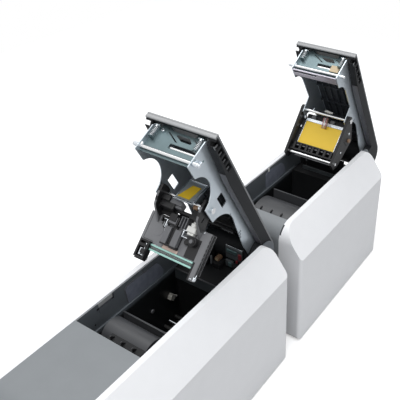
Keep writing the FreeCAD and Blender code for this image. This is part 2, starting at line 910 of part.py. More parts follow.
def lid_cross_plate(module):
    half = plate_offset - plate_wall / 2
    y0, y1 = cross_plate_y, cross_plate_y + plate_wall
    web = block(-half, half, y0, y1, -cross_plate_depth, -cross_plate_top)
    ears = []
    for side in (-1, 1):
        x0, x1 = sorted((side * cross_flange_x, side * (half - plate_flange_width - part_gap)))
        ears.append(block(x0, x1, y0, y1, -cross_plate_top, -skin_wall))
        ears.append(block(x0, x1, y1, y1 + cross_flange_length, -skin_wall - plate_wall, -skin_wall))

    def opening(points):
        return front_solid(points, y0 - overrun, y1 + overrun)

    low_left = cross_window_left + cross_window_lean + cross_window_narrow
    low_right = cross_window_right + cross_window_lean
    holes = [opening([(cross_window_left, -cross_window_top, plate_wall),
                      (cross_window_right, -cross_window_top, plate_wall),
                      (low_right, -cross_window_bottom, plate_wall),
                      (low_left, -cross_window_bottom, plate_wall)]),
             opening([(cross_gap_left, -cross_gap_top, 0), (cross_gap_right, -cross_gap_top, 0),
                      (cross_gap_right, -cross_gap_bottom, 0), (cross_gap_left, -cross_gap_bottom, 0)])]
    for start, end in ((cross_slot_left, cross_slot_bottom), (cross_slot_right, cross_window_bottom)):
        lean = cross_slot_lean * (end - cross_window_top) / (cross_slot_bottom - cross_window_top)
        holes.append(opening([(start, -cross_window_top, 0), (start + cross_slot_width, -cross_window_top, 0),
                              (start + lean + cross_slot_width, -end, 0), (start + lean, -end, 0)]))
    tabs = []
    coil_foot = -spring_top - spring_length()
    for side in (-1, 1):
        x = side * spring_x
        for low in (-spring_top, coil_foot - spring_tab_wall):
            tabs.append(block(x - spring_tab_width / 2, x + spring_tab_width / 2, spring_y - spring_radius,
                              y0, low, low + spring_tab_wall))
    return without(joined([web] + ears + tabs), holes)


def latch_rod(module):
    return rod(latch_rod_radius, -latch_rod_half, latch_rod_half, latch_rod_y, -latch_rod_depth)


def tie_rods(module):
    half = plate_offset - plate_wall / 2
    tie = rod(tie_rod_radius, -half, half, tie_rod_y, -tie_rod_depth)
    reach = module["pivot_half"]
    y, z = module["pivot_y"], -module["pivot_depth"]
    pivot = rod(pivot_rod_radius, -reach, reach, y, z)
    clips = [rod(clip_radius, side * reach - (clip_wall if side > 0 else 0),
                 side * reach + (0 if side > 0 else clip_wall), y, z) for side in (-1, 1)]
    return [tie, joined([pivot] + clips)]


def spring_length():
    """Height of a latch spring over both of its wire ends."""
    quarter = math.pi / 2
    rise = spring_pitch / 4
    slope = math.hypot(spring_radius * quarter, rise)
    lift = (2 * spring_wire * rise + spring_wire * spring_radius * quarter) / slope
    return 2 * lift + spring_pitch * spring_turn_count


def spring_edges(x):
    """Wire of a close-wound spring that hangs from its tab, with its axis square to the lid."""
    steps = 4 * spring_turn_count
    quarter = math.pi / 2
    rise = spring_pitch / 4
    slope = math.hypot(spring_radius * quarter, rise)
    stub = 2 * spring_wire
    lift = (stub * rise + spring_wire * spring_radius * quarter) / slope
    top = -spring_top - lift
    points, tangents = [], []
    for step in range(steps + 1):
        angle = step * quarter
        points.append(Vector(x + spring_radius * math.cos(angle), spring_y + spring_radius * math.sin(angle),
                             top - rise * step))
        tangents.append(Vector(-spring_radius * quarter * math.sin(angle) / slope,
                               spring_radius * quarter * math.cos(angle) / slope, -rise / slope))
    edges = [Part.makeLine(points[0] - tangents[0] * stub, points[0])]
    for step in range(steps):
        edges += biarc(points[step], tangents[step], points[step + 1], tangents[step + 1])
    edges.append(Part.makeLine(points[-1], points[-1] + tangents[-1] * stub))
    return edges, points[0] - tangents[0] * stub, tangents[0]


def latch_spring(x):
    edges, start, direction = spring_edges(x)
    return pipe(edges, spring_wire, start, direction)


def spring_gap():
    """Least gap of a latch spring to itself, measured on points of its wire."""
    points = Part.Wire(spring_edges(spring_x)[0]).discretize(spring_turn_count * spring_point_count)
    half_turn = spring_point_count // 2
    nearest = min(points[i].distanceToPoint(points[j]) for i in range(len(points))
                  for j in range(i + half_turn, len(points)))
    return nearest - 2 * spring_wire


def latch_springs(module):
    return [latch_spring(-spring_x), latch_spring(spring_x)]


def shield_plate():
    x0, x1 = shield_x - shield_half, shield_x + shield_half
    outline = [(shield_top_y, -skin_wall, 0), (shield_top_y + shield_flange, -skin_wall, 0),
               (shield_top_y + shield_flange, -skin_wall - shield_wall, 0),
               (shield_top_y + shield_wall, -skin_wall - shield_wall, 0),
               (shield_bend_y + shield_wall, -shield_bend_depth, 0),
               (shield_foot_y + shield_wall, -shield_foot_depth, 0),
               (shield_foot_y, -shield_foot_depth, 0), (shield_bend_y, -shield_bend_depth, 0)]
    return side_solid(outline, x0, x1)


# Print carriage: s runs down its plate, t stands out of the plate towards the front

carriage_turn = math.radians(carriage_slope_angle)


def on_carriage(s, t):
    y = carriage_top_y + s * math.sin(carriage_turn) - t * math.cos(carriage_turn)
    z = -carriage_top_depth - s * math.cos(carriage_turn) - t * math.sin(carriage_turn)
    return y, z


def carriage_bar(x0, x1, s0, s1, t0, t1):
    corners = [on_carriage(s0, t0), on_carriage(s1, t0), on_carriage(s1, t1), on_carriage(s0, t1)]
    return side_solid([(y, z, 0) for y, z in corners], x0, x1)


def carriage_arm(side):
    """Cheek between the pivot rod and the plate, bowed to the front, with a slot through it."""
    x0, x1 = sorted((side * arm_x, side * (arm_x + arm_wall)))
    pivot_y, pivot_z = printer_pivot_y, -printer_pivot_depth
    half_wall = carriage_wall / 2
    root_y, root_z = on_carriage(arm_root_length, 0)
    top_y, top_z = on_carriage(0, 0)
    cheek = side_solid([(pivot_y - arm_brow_ahead, pivot_z + arm_brow_rise, half_wall),
                        (pivot_y - arm_waist_ahead, pivot_z - arm_waist_drop, arm_front_radius),
                        (pivot_y - arm_knee_ahead, pivot_z - arm_knee_drop, arm_front_radius),
                        (root_y, root_z, 0), (top_y + half_wall, top_z, 0),
                        (pivot_y + arm_boss_radius, pivot_z, 0)], x0, x1)
    slot_y = pivot_y + arm_slot_back
    slot = block(x0 - overrun, x1 + overrun, slot_y, slot_y + arm_slot_wall,
                 pivot_z - arm_slot_drop - arm_slot_height, pivot_z - arm_slot_drop)
    return joined([cheek.cut(slot), rod(arm_boss_radius, x0, x1, pivot_y, pivot_z)])


def carriage_plate():
    half_wall = carriage_wall / 2
    solids = [carriage_bar(-carriage_half, carriage_half, 0, carriage_plate_length, -half_wall, half_wall),
              carriage_bar(-carriage_half, -end_block_left - part_gap, 0, rail_end, -half_wall, half_wall),
              carriage_bar(carriage_tongue_left, carriage_tongue_right, -carriage_tongue_rise,
                           carriage_plate_length, -half_wall, half_wall),
              carriage_arm(-1), carriage_arm(1)]
    return without(joined(solids), [rod(pivot_rod_radius + running_clearance, -carriage_half, carriage_half,
                                        printer_pivot_y, -printer_pivot_depth)])


def carriage_right_rail():
    x1 = carriage_half
    x0 = x1 - rail_width
    half_wall = carriage_wall / 2
    rail = joined([carriage_bar(x0, x1, rail_start, rail_tail_start, -rail_drop, -half_wall),
                   carriage_bar(x0, x1, carriage_plate_length, rail_end, -rail_tail_drop, half_wall)])
    grooves = []
    for index in range(rail_rib_count):
        low = rail_start + rail_rib_wall + index * rail_rib_pitch
        high = low + rail_rib_pitch - rail_rib_wall
        grooves.append(carriage_bar(x1 - rail_rib_depth, x1 + overrun, low, high,
                                    -rail_drop + rail_rib_wall, -rail_tail_drop))
    return without(rail, grooves)


def carriage_left_rail():
    """End block of the plate, open to the front between its walls."""
    half_wall = carriage_wall / 2
    x0, x1 = -end_block_left, -end_block_right
    head = carriage_bar(x0, x1, end_block_start, carriage_plate_length, half_wall, rail_front)
    body = carriage_bar(x0, x1, carriage_plate_length, rail_end, -rail_back, rail_front)
    recess = carriage_bar(x0 + end_block_wall, x1 - end_block_wall, end_block_start + end_block_wall,
                          rail_end - end_block_wall, rail_front - end_block_recess, rail_front + overrun)
    return without(joined([head, body]), [recess])


def print_head():
    """Strip across the foot of the plate, on a sink whose fins face the rear."""
    half_wall = carriage_wall / 2
    sink = carriage_bar(-head_left, head_right, strip_start, strip_end, -head_sink_depth, -half_wall)
    grooves = []
    for index in range(head_groove_count):
        low = strip_start + head_fin_wall + index * head_fin_pitch
        grooves.append(carriage_bar(-head_left - overrun, head_right + overrun,
                                    low, low + head_fin_pitch - head_fin_wall,
                                    -head_sink_depth - overrun, -head_sink_floor))
    strip = carriage_bar(-head_left, head_right, strip_start, strip_end, -half_wall, strip_wall)
    return joined([without(sink, grooves), strip])


def cable_block():
    """Clamp on the plate, its bridge from the left arm, and the plug and cap of the head's cable."""
    half_wall = carriage_wall / 2
    solids = [carriage_bar(clamp_left, clamp_right, clamp_start, clamp_end,
                           half_wall, half_wall + clamp_base),
              carriage_bar(clamp_left, clamp_box_right, clamp_start, clamp_box_end,
                           half_wall, clamp_box_depth)]
    for x0 in (clamp_left, clamp_right - clamp_bar_width):
        solids.append(carriage_bar(x0, x0 + clamp_bar_width, clamp_bar_start, clamp_end,
                                   half_wall, clamp_bar_depth))
    bridge_y = printer_pivot_y + bridge_back
    bridge_z = -printer_pivot_depth - bridge_drop
    bridge = block(-arm_x, bridge_right, bridge_y, bridge_y + bridge_wall, bridge_z - bridge_height, bridge_z)
    plug = carriage_bar(plug_left, plug_right, plug_start, plug_end, half_wall, plug_depth)
    foot_y, foot_z = on_carriage(cap_place, half_wall)
    out_y, out_z = on_carriage(cap_place, cap_depth)
    cap = Part.makeCylinder(cap_radius, cap_depth - half_wall, Vector(cap_x, foot_y, foot_z),
                            Vector(0, out_y - foot_y, out_z - foot_z))
    return [joined(solids), bridge, plug, cap]


def head_cable():
    """Cable from the top of its plug, up past the plate and into the right arm."""
    middle = (carriage_wall / 2 + plug_depth) / 2
    foot = Vector(cable_x, *on_carriage(plug_start, middle))
    bend = Vector(cable_x, *on_carriage(plug_start - cable_rise, middle))
    arm = Vector(arm_x, *on_carriage(plug_start - cable_rise, middle))
    return pipe(bent_path([foot, bend, arm], [cable_turn]), cable_radius, foot, (bend - foot).normalize())


# Heater unit of the laminator

def heater_frame():
    y, z = laminator_pivot_y, -laminator_pivot_depth
    body = side_solid([(heater_front_top_y, -heater_top_depth, 0), (heater_rear_y, -heater_top_depth, 0),
                       (heater_rear_y, -heater_foot_depth, 0), (heater_front_foot_y, -heater_foot_depth, 0)],
                      -heater_half, heater_half)
    solids = [body]
    for side in (-1, 1):
        x0, x1 = sorted((side * cheek_inner, side * (cheek_inner + cheek_wall)))
        cheek = side_solid([(y - cheek_boss_radius, z, 0), (y, z + cheek_boss_radius, 0),
                            (cheek_rear_y, -heater_top_depth, 0), (cheek_rear_y, -cheek_rear_depth, 0),
                            (cheek_rear_y - cheek_boss_radius, -cheek_foot_depth, 0),
                            (cheek_front_y, -cheek_foot_depth, 0)], x0, x1)
        solids += [cheek, rod(cheek_boss_radius, x0, x1, y, z)]
    pitch = (2 * heater_half - heater_fin_wall) / (heater_fin_count - 1)
    for index in range(heater_fin_count):
        x0 = -heater_half + index * pitch
        solids.append(block(x0, x0 + heater_fin_wall, heater_front_foot_y + part_gap, heater_rear_y,
                            -heater_foot_depth - heater_fin_depth, -heater_foot_depth))
    body = joined(solids)
    reach = cheek_inner + cheek_wall + overrun
    room = block(-heater_half + heater_wall, heater_half - heater_wall, heater_front_foot_y + heater_wall,
                 heater_rear_y + overrun, -heater_foot_depth + heater_wall, -heater_top_depth - heater_wall)
    return without(body, [room, rod(pivot_rod_radius + running_clearance, -reach, reach, y, z),
                          rod(heater_rod_radius, -reach, reach, heater_rod_y, -heater_rod_depth)])


def heater_slope():
    return math.atan2(heater_front_foot_y - heater_front_top_y, heater_foot_depth - heater_top_depth)


def heater_plate():
    turn = heater_slope()
    ny, nz = -math.cos(turn), -math.sin(turn)
    length = math.hypot(heater_front_foot_y - heater_front_top_y, heater_foot_depth - heater_top_depth)
    sy, sz = math.sin(turn), -math.cos(turn)
    corners = []
    for along, out in ((label_margin, 0), (length - label_margin, 0),
                       (length - label_margin, label_wall), (label_margin, label_wall)):
        corners.append((heater_front_top_y + sy * along + ny * out,
                        -heater_top_depth + sz * along + nz * out, 0))
    return side_solid(corners, -label_half, label_half)


def heater_rod():
    return rod(heater_rod_radius, -heater_rod_half, heater_rod_half, heater_rod_y, -heater_rod_depth)


def heater_wires():
    """Two hoops of wire that stand on the heater's top."""
    wires = []
    for index in range(wire_count):
        x = wire_x + (index - (wire_count - 1) / 2) * wire_pitch
        y0 = heater_front_top_y + wire_inset
        y1 = y0 + wire_span
        low, high = -heater_top_depth, -heater_top_depth + wire_rise
        points = [Vector(x, y0, low), Vector(x, y0, high), Vector(x, y1, high), Vector(x, y1, low)]
        wires.append(pipe(bent_path(points, [wire_bend, wire_bend]), wire_radius, points[0], Vector(0, 0, 1)))
    return wires


# Rollers, gears, motors and hubs

def gear(teeth, x0, x1, y, z, phase):
    """Spur gear about an X axis; phase turns it by a share of one tooth."""
    pitch_radius = gear_module * teeth / 2
    root = pitch_radius - gear_module * dedendum_share
    tip = pitch_radius + gear_module * addendum_share
    step = 2 * math.pi / teeth
    points = []
    for index in range(teeth):
        middle = (index + phase) * step
        for radius, share in ((root, -tooth_root_share), (pitch_radius, -tooth_pitch_share),
                              (tip, -tooth_tip_share), (tip, tooth_tip_share),
                              (pitch_radius, tooth_pitch_share), (root, tooth_root_share)):
            angle = middle + share * step
            points.append((y + radius * math.cos(angle), z + radius * math.sin(angle), 0))
    return side_solid(points, x0, x1)


def roller(y, z, sleeve_radius, sleeves, gear_phase, shaft_end):
    """Steel shaft through both frames with rubber sleeves, a gear and a retaining collar."""
    left_end = -frame_outer - part_gap - retainer_wall
    shaft = rod(roller_shaft_radius, left_end, shaft_end, y, z)
    collar = rod(retainer_radius, left_end, left_end + retainer_wall, y, z)
    solids = [shaft, collar]
    for x0, x1 in sleeves:
        solids.append(rod(sleeve_radius, x0, x1, y, z))
    if gear_phase is not None:
        solids.append(gear(gear_tooth_count, gear_x, gear_x + gear_width, y, z, gear_phase))
    return joined(solids)


def mesh_angle(y, z):
    """Direction from a roller to the pinion, as an angle in the Y-Z plane."""
    return math.atan2(pinion_z - z, pinion_y - y)


def gear_phase_for(y, z):
    """Phase that points a tooth of the roller's gear at the pinion."""
    return mesh_angle(y, z) / (2 * math.pi) * gear_tooth_count


def platen_roller():
    return roller(platen_y, roller_z, platen_radius, [(-roller_half, roller_half)],
                  gear_phase_for(platen_y, roller_z), gear_x + gear_width)


def feed_roller():
    core = [(-feed_band_x - feed_band_half, -feed_band_x + feed_band_half),
            (feed_band_x - feed_band_half, feed_band_x + feed_band_half)]
    body = roller(feed_y, roller_z, platen_radius, core, feed_gear_phase(), gear_x + gear_width)
    return joined([body, rod(feed_core_radius, -roller_half, roller_half, feed_y, roller_z)])


def pinion_phase():
    """Phase that points a gap of the pinion back at the platen's gear."""
    back = mesh_angle(platen_y, roller_z) + math.pi
    return back / (2 * math.pi) * pinion_tooth_count + half_tooth_share


def feed_gear_phase():
    """Phase of the feed gear, from where the pinion's teeth stand towards it."""
    towards = mesh_angle(feed_y, roller_z) + math.pi
    pinion_share = towards / (2 * math.pi) * pinion_tooth_count - pinion_phase()
    facing = mesh_angle(feed_y, roller_z) / (2 * math.pi) * gear_tooth_count
    return facing + pinion_share + half_tooth_share


def motor_pinion():
    wheel = gear(pinion_tooth_count, gear_x, gear_x + gear_width, pinion_y, pinion_z, pinion_phase())
    shaft = rod(motor_shaft_radius, gear_x, frame_outer + motor_standoff + motor_length / 2,
                pinion_y, pinion_z)
    return joined([wheel, shaft])


def motor(y, z, bore_radius, bore_end):
    x0 = frame_outer + motor_standoff
    flange = block(x0, x0 + motor_flange_wall, y - motor_flange / 2, y + motor_flange / 2,
                   z - motor_flange / 2, z + motor_flange / 2)
    can = rod(motor_radius, x0, x0 + motor_length, y, z)
    posts = [rod(motor_post_radius, frame_outer, x0, y + side * motor_post_y, z - motor_post_drop)
             for side in (-1, 1)]
    return without(joined([flange, can] + posts),
                   [rod(bore_radius + running_clearance, x0 - overrun, bore_end, y, z)])


def pressure_roller():
    return roller(pressure_y, -pressure_depth, pressure_radius, [(-roller_half, roller_half)], None,
                  frame_outer + motor_standoff + motor_length / 2)


def ribbon_hub(y, depth):
    left_end = -frame_outer - part_gap - retainer_wall
    face = -frame_inner + part_gap
    solids = [rod(hub_shaft_radius, left_end, face + hub_length, y, -depth),
              rod(2 * hub_shaft_radius, left_end, left_end + retainer_wall, y, -depth),
              rod(hub_radius - hub_fin_height, face, face + hub_length, y, -depth)]
    for index in range(hub_fin_count):
        fin = block(face, face + hub_length, y, y + hub_radius, -depth - hub_fin_wall / 2,
                    -depth + hub_fin_wall / 2)
        fin.rotate(Vector(0, y, -depth), Vector(1, 0, 0), index * 360 / hub_fin_count)
        solids.append(fin)
    return joined(solids)


# Top panel, fascia, door and button of the printer

def bent_panel(module, radius, low):
    """Panel that runs from the lid forward and turns down the front."""
    front, rear = -module["front"], -lid_gap
    half = half_opening
    outer = side_solid([(front, low, 0), (front, 0, radius), (rear, 0, 0), (rear, low, 0)], -half, half)
    inner = side_solid([(front + panel_wall, low - overrun, 0),
                        (front + panel_wall, -panel_wall, radius - panel_wall),
                        (rear + overrun, -panel_wall, 0), (rear + overrun, low - overrun, 0)], -half, half)
    return outer.cut(inner)


def printer_top_panel():
    panel = bent_panel(printer, printer_front_top_radius, -printer_front_top_radius)
    half = half_opening
    skirts = []
    for side in (-1, 1):
        x0, x1 = sorted((side * half, side * (half - panel_skirt_wall)))
        skirts.append(block(x0, x1, -printer_front + printer_front_top_radius, -lid_gap,
                            -panel_wall - panel_skirt, -panel_wall))
    hole = Part.makeCylinder(button_radius + part_gap, panel_wall + 2 * overrun,
                             Vector(button_x, -button_y, -panel_wall - overrun))
    reach = button_flange_radius + switch_post
    low = -panel_wall - switch_drop
    posts = [block(button_x + side * reach - switch_post / 2, button_x + side * reach + switch_post / 2,
                   -button_y - button_radius, -button_y + button_radius, low, -panel_wall)
             for side in (-1, 1)]
    bridge = block(button_x - reach, button_x + reach, -button_y - button_radius, -button_y + button_radius,
                   low, low + switch_post)
    return without(joined([panel, bridge] + posts + skirts), [hole])


def ready_button():
    low = -panel_wall - part_gap - button_flange_wall
    cap = Part.makeCylinder(button_radius, panel_wall + part_gap + button_travel,
                            Vector(button_x, -button_y, low + button_flange_wall))
    flange = Part.makeCylinder(button_flange_radius, button_flange_wall, Vector(button_x, -button_y, low))
    return joined([cap, flange])


def front_fascia():
    half = half_opening
    front = -printer_front
    plate = block(-half, half, front, front + fascia_wall, tray_top + part_gap,
                  -printer_front_top_radius - part_gap)
    opening = block(-hopper_half + fascia_wall, hopper_half - fascia_wall, front - overrun,
                    front + fascia_wall + overrun, -hopper_bottom + fascia_wall, -hopper_top - fascia_wall)
    axis_y, axis_z = door_axis()
    ears = []
    for side in (-1, 1):
        x0, x1 = sorted((side * (hopper_half + part_gap), side * (hopper_half + part_gap + door_ear_width)))
        ears.append(block(x0, x1, axis_y - door_wall / 2, front, axis_z - door_wall, axis_z + door_wall))
    bore = rod(door_pin_radius + running_clearance, -half, half, axis_y, axis_z)
    return without(joined([plate] + ears), [opening, bore])


def door_axis():
    return -printer_front - door_gap - door_wall / 2, -hopper_bottom


def hopper_door():
    axis_y, axis_z = door_axis()
    leaf = block(-hopper_half, hopper_half, axis_y - door_wall / 2, axis_y + door_wall / 2,
                 axis_z, -hopper_top)
    knuckle = rod(door_wall / 2, -hopper_half, hopper_half, axis_y, axis_z)
    pin = rod(door_pin_radius, -hopper_half - part_gap - door_ear_width,
              hopper_half + part_gap + door_ear_width, axis_y, axis_z)
    return joined([leaf, knuckle, pin])


# Main board, inlet and rocker

def main_board():
    low = tray_top + board_height
    board = block(-board_half, board_half, board_front_y, board_rear_y, low, low + board_wall)
    solids = [board]
    for x in (-board_half + board_post_inset, board_half - board_post_inset):
        for y in (board_front_y + board_post_inset, board_rear_y - board_post_inset):
            solids.append(Part.makeCylinder(board_post_radius, board_height, Vector(x, y, tray_top)))
    for index in range(chip_count):
        x = (index - (chip_count - 1) / 2) * chip_pitch
        y = (board_front_y + board_rear_y) / 2
        solids.append(block(x - chip_size / 2, x + chip_size / 2, y - chip_size / 2, y + chip_size / 2,
                            low + board_wall, low + board_wall + chip_height))
    rear = printer["housing_rear"]
    port = block(usb_x - usb_half, usb_x + usb_half, board_rear_y - chip_size, rear,
                 low + board_wall, low + board_wall + usb_height)
    mouth = block(usb_x - usb_half + usb_opening_wall, usb_x + usb_half - usb_opening_wall,
                  rear - usb_opening_depth, rear + overrun, low + board_wall + usb_opening_wall,
                  low + board_wall + usb_height - usb_opening_wall)
    return joined(solids + [port.cut(mouth)])


def power_inlet():
    rear = printer["housing_rear"]
    z = tray_top + inlet_z
    body = block(inlet_x - inlet_half, inlet_x + inlet_half, rear - inlet_depth, rear + inlet_proud,
                 z - inlet_height / 2, z + inlet_height / 2)
    mouth = block(inlet_x - inlet_half + inlet_wall, inlet_x + inlet_half - inlet_wall,
                  rear + inlet_proud - inlet_recess, rear + inlet_proud + overrun,
                  z - inlet_height / 2 + inlet_wall, z + inlet_height / 2 - inlet_wall)
    solids = [body.cut(mouth)]
    for index in (-1, 0, 1):
        lift = inlet_blade_pitch / 4 if index == 0 else -inlet_blade_pitch / 4
        solids.append(Part.makeCylinder(inlet_blade_radius, inlet_recess - inlet_wall,
                                        Vector(inlet_x + index * inlet_blade_pitch,
                                               rear + inlet_proud - inlet_recess, z + lift),
                                        Vector(0, 1, 0)))
    return joined(solids)


def rocker_axis():
    return printer["housing_rear"], tray_top + inlet_z


def power_rocker():
    y, z = rocker_axis()
    half = rocker_height / 2
    body = side_solid([(y - rocker_depth, z - half / 2, 0), (y - rocker_depth, z + half / 2, 0),
                       (y, z + half, 0), (y + rocker_pivot_radius, z, 0), (y, z - half, 0)],
                      rocker_x - rocker_half, rocker_x + rocker_half)
    pin = rod(rocker_pivot_radius, rocker_x - rocker_half - housing_wall / 2,
              rocker_x + rocker_half + housing_wall / 2, y - housing_wall / 2, z)
    rocker = joined([body, pin])
    rocker.rotate(Vector(0, y - housing_wall / 2, z), Vector(1, 0, 0), -rocker_tilt_angle)
    return rocker


def printer_rear_cutters():
    rear = printer["housing_rear"]
    z = tray_top + inlet_z
    inlet = block(inlet_x - inlet_half, inlet_x + inlet_half, rear - housing_wall - overrun, rear + overrun,
                  z - inlet_height / 2, z + inlet_height / 2)
    grow = rocker_room
    rocker = block(rocker_x - rocker_half - part_gap, rocker_x + rocker_half + part_gap,
                   rear - housing_wall - overrun, rear + overrun,
                   z - rocker_height / 2 - grow, z + rocker_height / 2 + grow)
    pin = rod(rocker_pivot_radius + running_clearance, rocker_x - rocker_half - housing_wall / 2 - part_gap,
              rocker_x + rocker_half + housing_wall / 2 + part_gap, rear - housing_wall / 2, z)
    low = tray_top + board_height + board_wall
    port = block(usb_x - usb_half - inner_fit, usb_x + usb_half + inner_fit,
                 rear - housing_wall - overrun, rear + overrun, low - inner_fit, low + usb_height + inner_fit)
    return [inlet, rocker, pin, port]


# Front of the laminator and the docking sleeve

def laminator_front_panel():
    panel = bent_panel(laminator, laminator_front - lid_gap, tray_top + part_gap)
    slot = block(-card_slot_half, card_slot_half,
                 -laminator_front - overrun, -laminator_front + panel_wall + overrun,
                 -path_depth - card_slot_height / 2, -path_depth + card_slot_height / 2)
    return without(panel, [slot])


def docking_sleeve():
    front = printer["housing_rear"]
    rear = module_pitch - laminator_front
    tube = block(-sleeve_half, sleeve_half, front, rear, -path_depth - sleeve_height / 2,
                 -path_depth + sleeve_height / 2)
    bore = block(-card_slot_half, card_slot_half, front - overrun, rear + overrun,
                 -path_depth - card_slot_height / 2, -path_depth + card_slot_height / 2)
    return tube.cut(bore)


# The two modules

printer = {
    "start": 0, "front": printer_front, "rear": printer_rear,
    "front_top_radius": printer_front_top_radius, "frame_rear": frame_rear_reach,
    "housing_rear": frame_rear_reach, "hinge_y": printer_hinge_y, "hinge_depth": printer_hinge_depth,
    "open_angle": printer_lid_angle, "plate_arm": False, "toe_end": printer_toe_end,
    "wide_cut": False,
    "pivot_y": printer_pivot_y, "pivot_depth": printer_pivot_depth, "pivot_half": printer_pivot_half,
    "shafts": [(platen_y, roller_z), (feed_y, roller_z)],
    "hubs": [(supply_y, supply_depth), (takeup_y, takeup_depth)],
    "drum_y": printer_drum_y, "drum_depth": printer_drum_depth, "drum_radius": printer_drum_radius,
    "ridge_y": printer_ridge_y, "ridge_depth": printer_ridge_depth, "ridge_half": core_half,
    "shelf_depth": printer_shelf_depth, "bulkhead_y": printer_bulkhead_y, "step_y": printer_step_y,
    "lower_deck": printer_lower_deck}

laminator = {
    "start": module_pitch, "front": laminator_front, "rear": laminator_rear,
    "front_top_radius": laminator_front_top_radius, "frame_rear": laminator_frame_reach,
    "housing_rear": frame_rear_reach, "hinge_y": laminator_hinge_y, "hinge_depth": laminator_hinge_depth,
    "open_angle": laminator_lid_angle, "plate_arm": True, "toe_end": laminator_toe_end,
    "wide_cut": True,
    "pivot_y": laminator_pivot_y, "pivot_depth": laminator_pivot_depth, "pivot_half": laminator_pivot_half,
    "shafts": [(pressure_y, -pressure_depth)], "hubs": [],
    "drum_y": laminator_drum_y, "drum_depth": laminator_drum_depth, "drum_radius": laminator_drum_radius,
    "ridge_y": laminator_ridge_y, "ridge_depth": laminator_ridge_depth,
    "ridge_half": drum_half + drum_wall / 2, "shelf_depth": laminator_shelf_depth,
    "bulkhead_y": laminator_bulkhead_y, "step_y": laminator_step_y, "lower_deck": laminator_lower_deck}


def placed(shapes, module):
    """Moves shapes from the module's own place to the machine's, whose origin is on the ground."""
    group = shapes if isinstance(shapes, list) else [shapes]
    moved = []
    for shape in group:
        copy = shape.copy()
        copy.translate(Vector(0, module["start"] - origin_y, body_height))
        moved.append(copy)
    return moved


def opened(shapes, module):
    group = shapes if isinstance(shapes, list) else [shapes]
    return placed([turned_open(shape, module) for shape in group], module)


nodes = {}

for name, module, cutters in (("printer", printer, printer_rear_cutters()), ("laminator", laminator, [])):
    cover = right_cover(module)
    nodes[name + "_base_tray"] = placed(base_tray(module), module)
    nodes[name + "_right_cover"] = placed(cover, module)
    nodes[name + "_left_cover"] = placed(mirrored(cover), module)
    nodes[name + "_right_frame"] = placed(right_frame(module), module)
    nodes[name + "_left_frame"] = placed(left_frame(module), module)
    nodes[name + "_drum_cover"] = placed(drum_cover(module), module)
    nodes[name + "_rear_housing"] = placed(rear_housing(module, cutters), module)
    plate = lid_right_plate(module)
    nodes[name + "_lid_skin"] = opened(lid_skin(module), module)
    nodes[name + "_lid_frame"] = opened(lid_frame(module), module)
    nodes[name + "_lid_right_plate"] = opened(plate, module)
    nodes[name + "_lid_left_plate"] = opened(mirrored(plate), module)
    nodes[name + "_lid_cross_plate"] = opened(lid_cross_plate(module), module)
    nodes[name + "_tie_rods"] = opened(tie_rods(module), module)
    nodes[name + "_latch_rod"] = opened(latch_rod(module), module)
    nodes[name + "_latch_springs"] = opened(latch_springs(module), module)

nodes["feet"] = placed(feet(printer), printer) + placed(feet(laminator), laminator)
nodes["hinge_pins"] = placed(hinge_pins(printer), printer) + placed(hinge_pins(laminator), laminator)
nodes["printer_top_panel"] = placed(printer_top_panel(), printer)
nodes["printer_front_fascia"] = placed(front_fascia(), printer)
nodes["hopper_door"] = placed(hopper_door(), printer)
nodes["ready_button"] = placed(ready_button(), printer)
nodes["main_board"] = placed(main_board(), printer)
nodes["power_inlet"] = placed(power_inlet(), printer)
nodes["power_rocker"] = placed(power_rocker(), printer)
nodes["drive_motor"] = placed(motor(pinion_y, pinion_z, motor_shaft_radius,
                                    frame_outer + motor_standoff + motor_length * motor_bore_share), printer)
nodes["motor_pinion"] = placed(motor_pinion(), printer)
nodes["platen_roller"] = placed(platen_roller(), printer)
nodes["feed_roller"] = placed(feed_roller(), printer)
nodes["ribbon_supply_hub"] = placed(ribbon_hub(supply_y, supply_depth), printer)
nodes["ribbon_takeup_hub"] = placed(ribbon_hub(takeup_y, takeup_depth), printer)
nodes["shield_plate"] = opened(shield_plate(), printer)
nodes["carriage_plate"] = opened(carriage_plate(), printer)
nodes["carriage_left_rail"] = opened(carriage_left_rail(), printer)
nodes["carriage_right_rail"] = opened(carriage_right_rail(), printer)
nodes["print_head"] = opened(print_head(), printer)
nodes["cable_block"] = opened(cable_block(), printer)
nodes["head_cable"] = opened(head_cable(), printer)
nodes["laminator_front_panel"] = placed(laminator_front_panel(), laminator)
nodes["docking_sleeve"] = placed(docking_sleeve(), printer)
bore_end = frame_outer + motor_standoff + motor_length * motor_bore_share
laminator_drive = motor(pressure_y, -pressure_depth, roller_shaft_radius, bore_end)
nodes["laminator_motor"] = placed(laminator_drive, laminator)
nodes["pressure_roller"] = placed(pressure_roller(), laminator)
nodes["heater_frame"] = opened(heater_frame(), laminator)
nodes["heater_plate"] = opened(heater_plate(), laminator)
nodes["heater_rod"] = opened(heater_rod(), laminator)
nodes["heater_wires"] = opened(heater_wires(), laminator)

for name, shapes in nodes.items():
    solids = [solid for shape in shapes for solid in shape.Solids]
    result = solids[0] if len(solids) == 1 else Part.makeCompound(solids)
    if not result.isValid():
        print("not valid:", name)
    result.exportStep("parts/" + name + ".step")

print("nodes", len(nodes))
print("least gap of a latch spring to itself", round(spring_gap(), 2))
print("origin y", origin_y, "front", machine_front - origin_y, "rear", machine_rear - origin_y)
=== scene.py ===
import bpy
import bmesh
import json
import math
from mathutils import Vector, Matrix


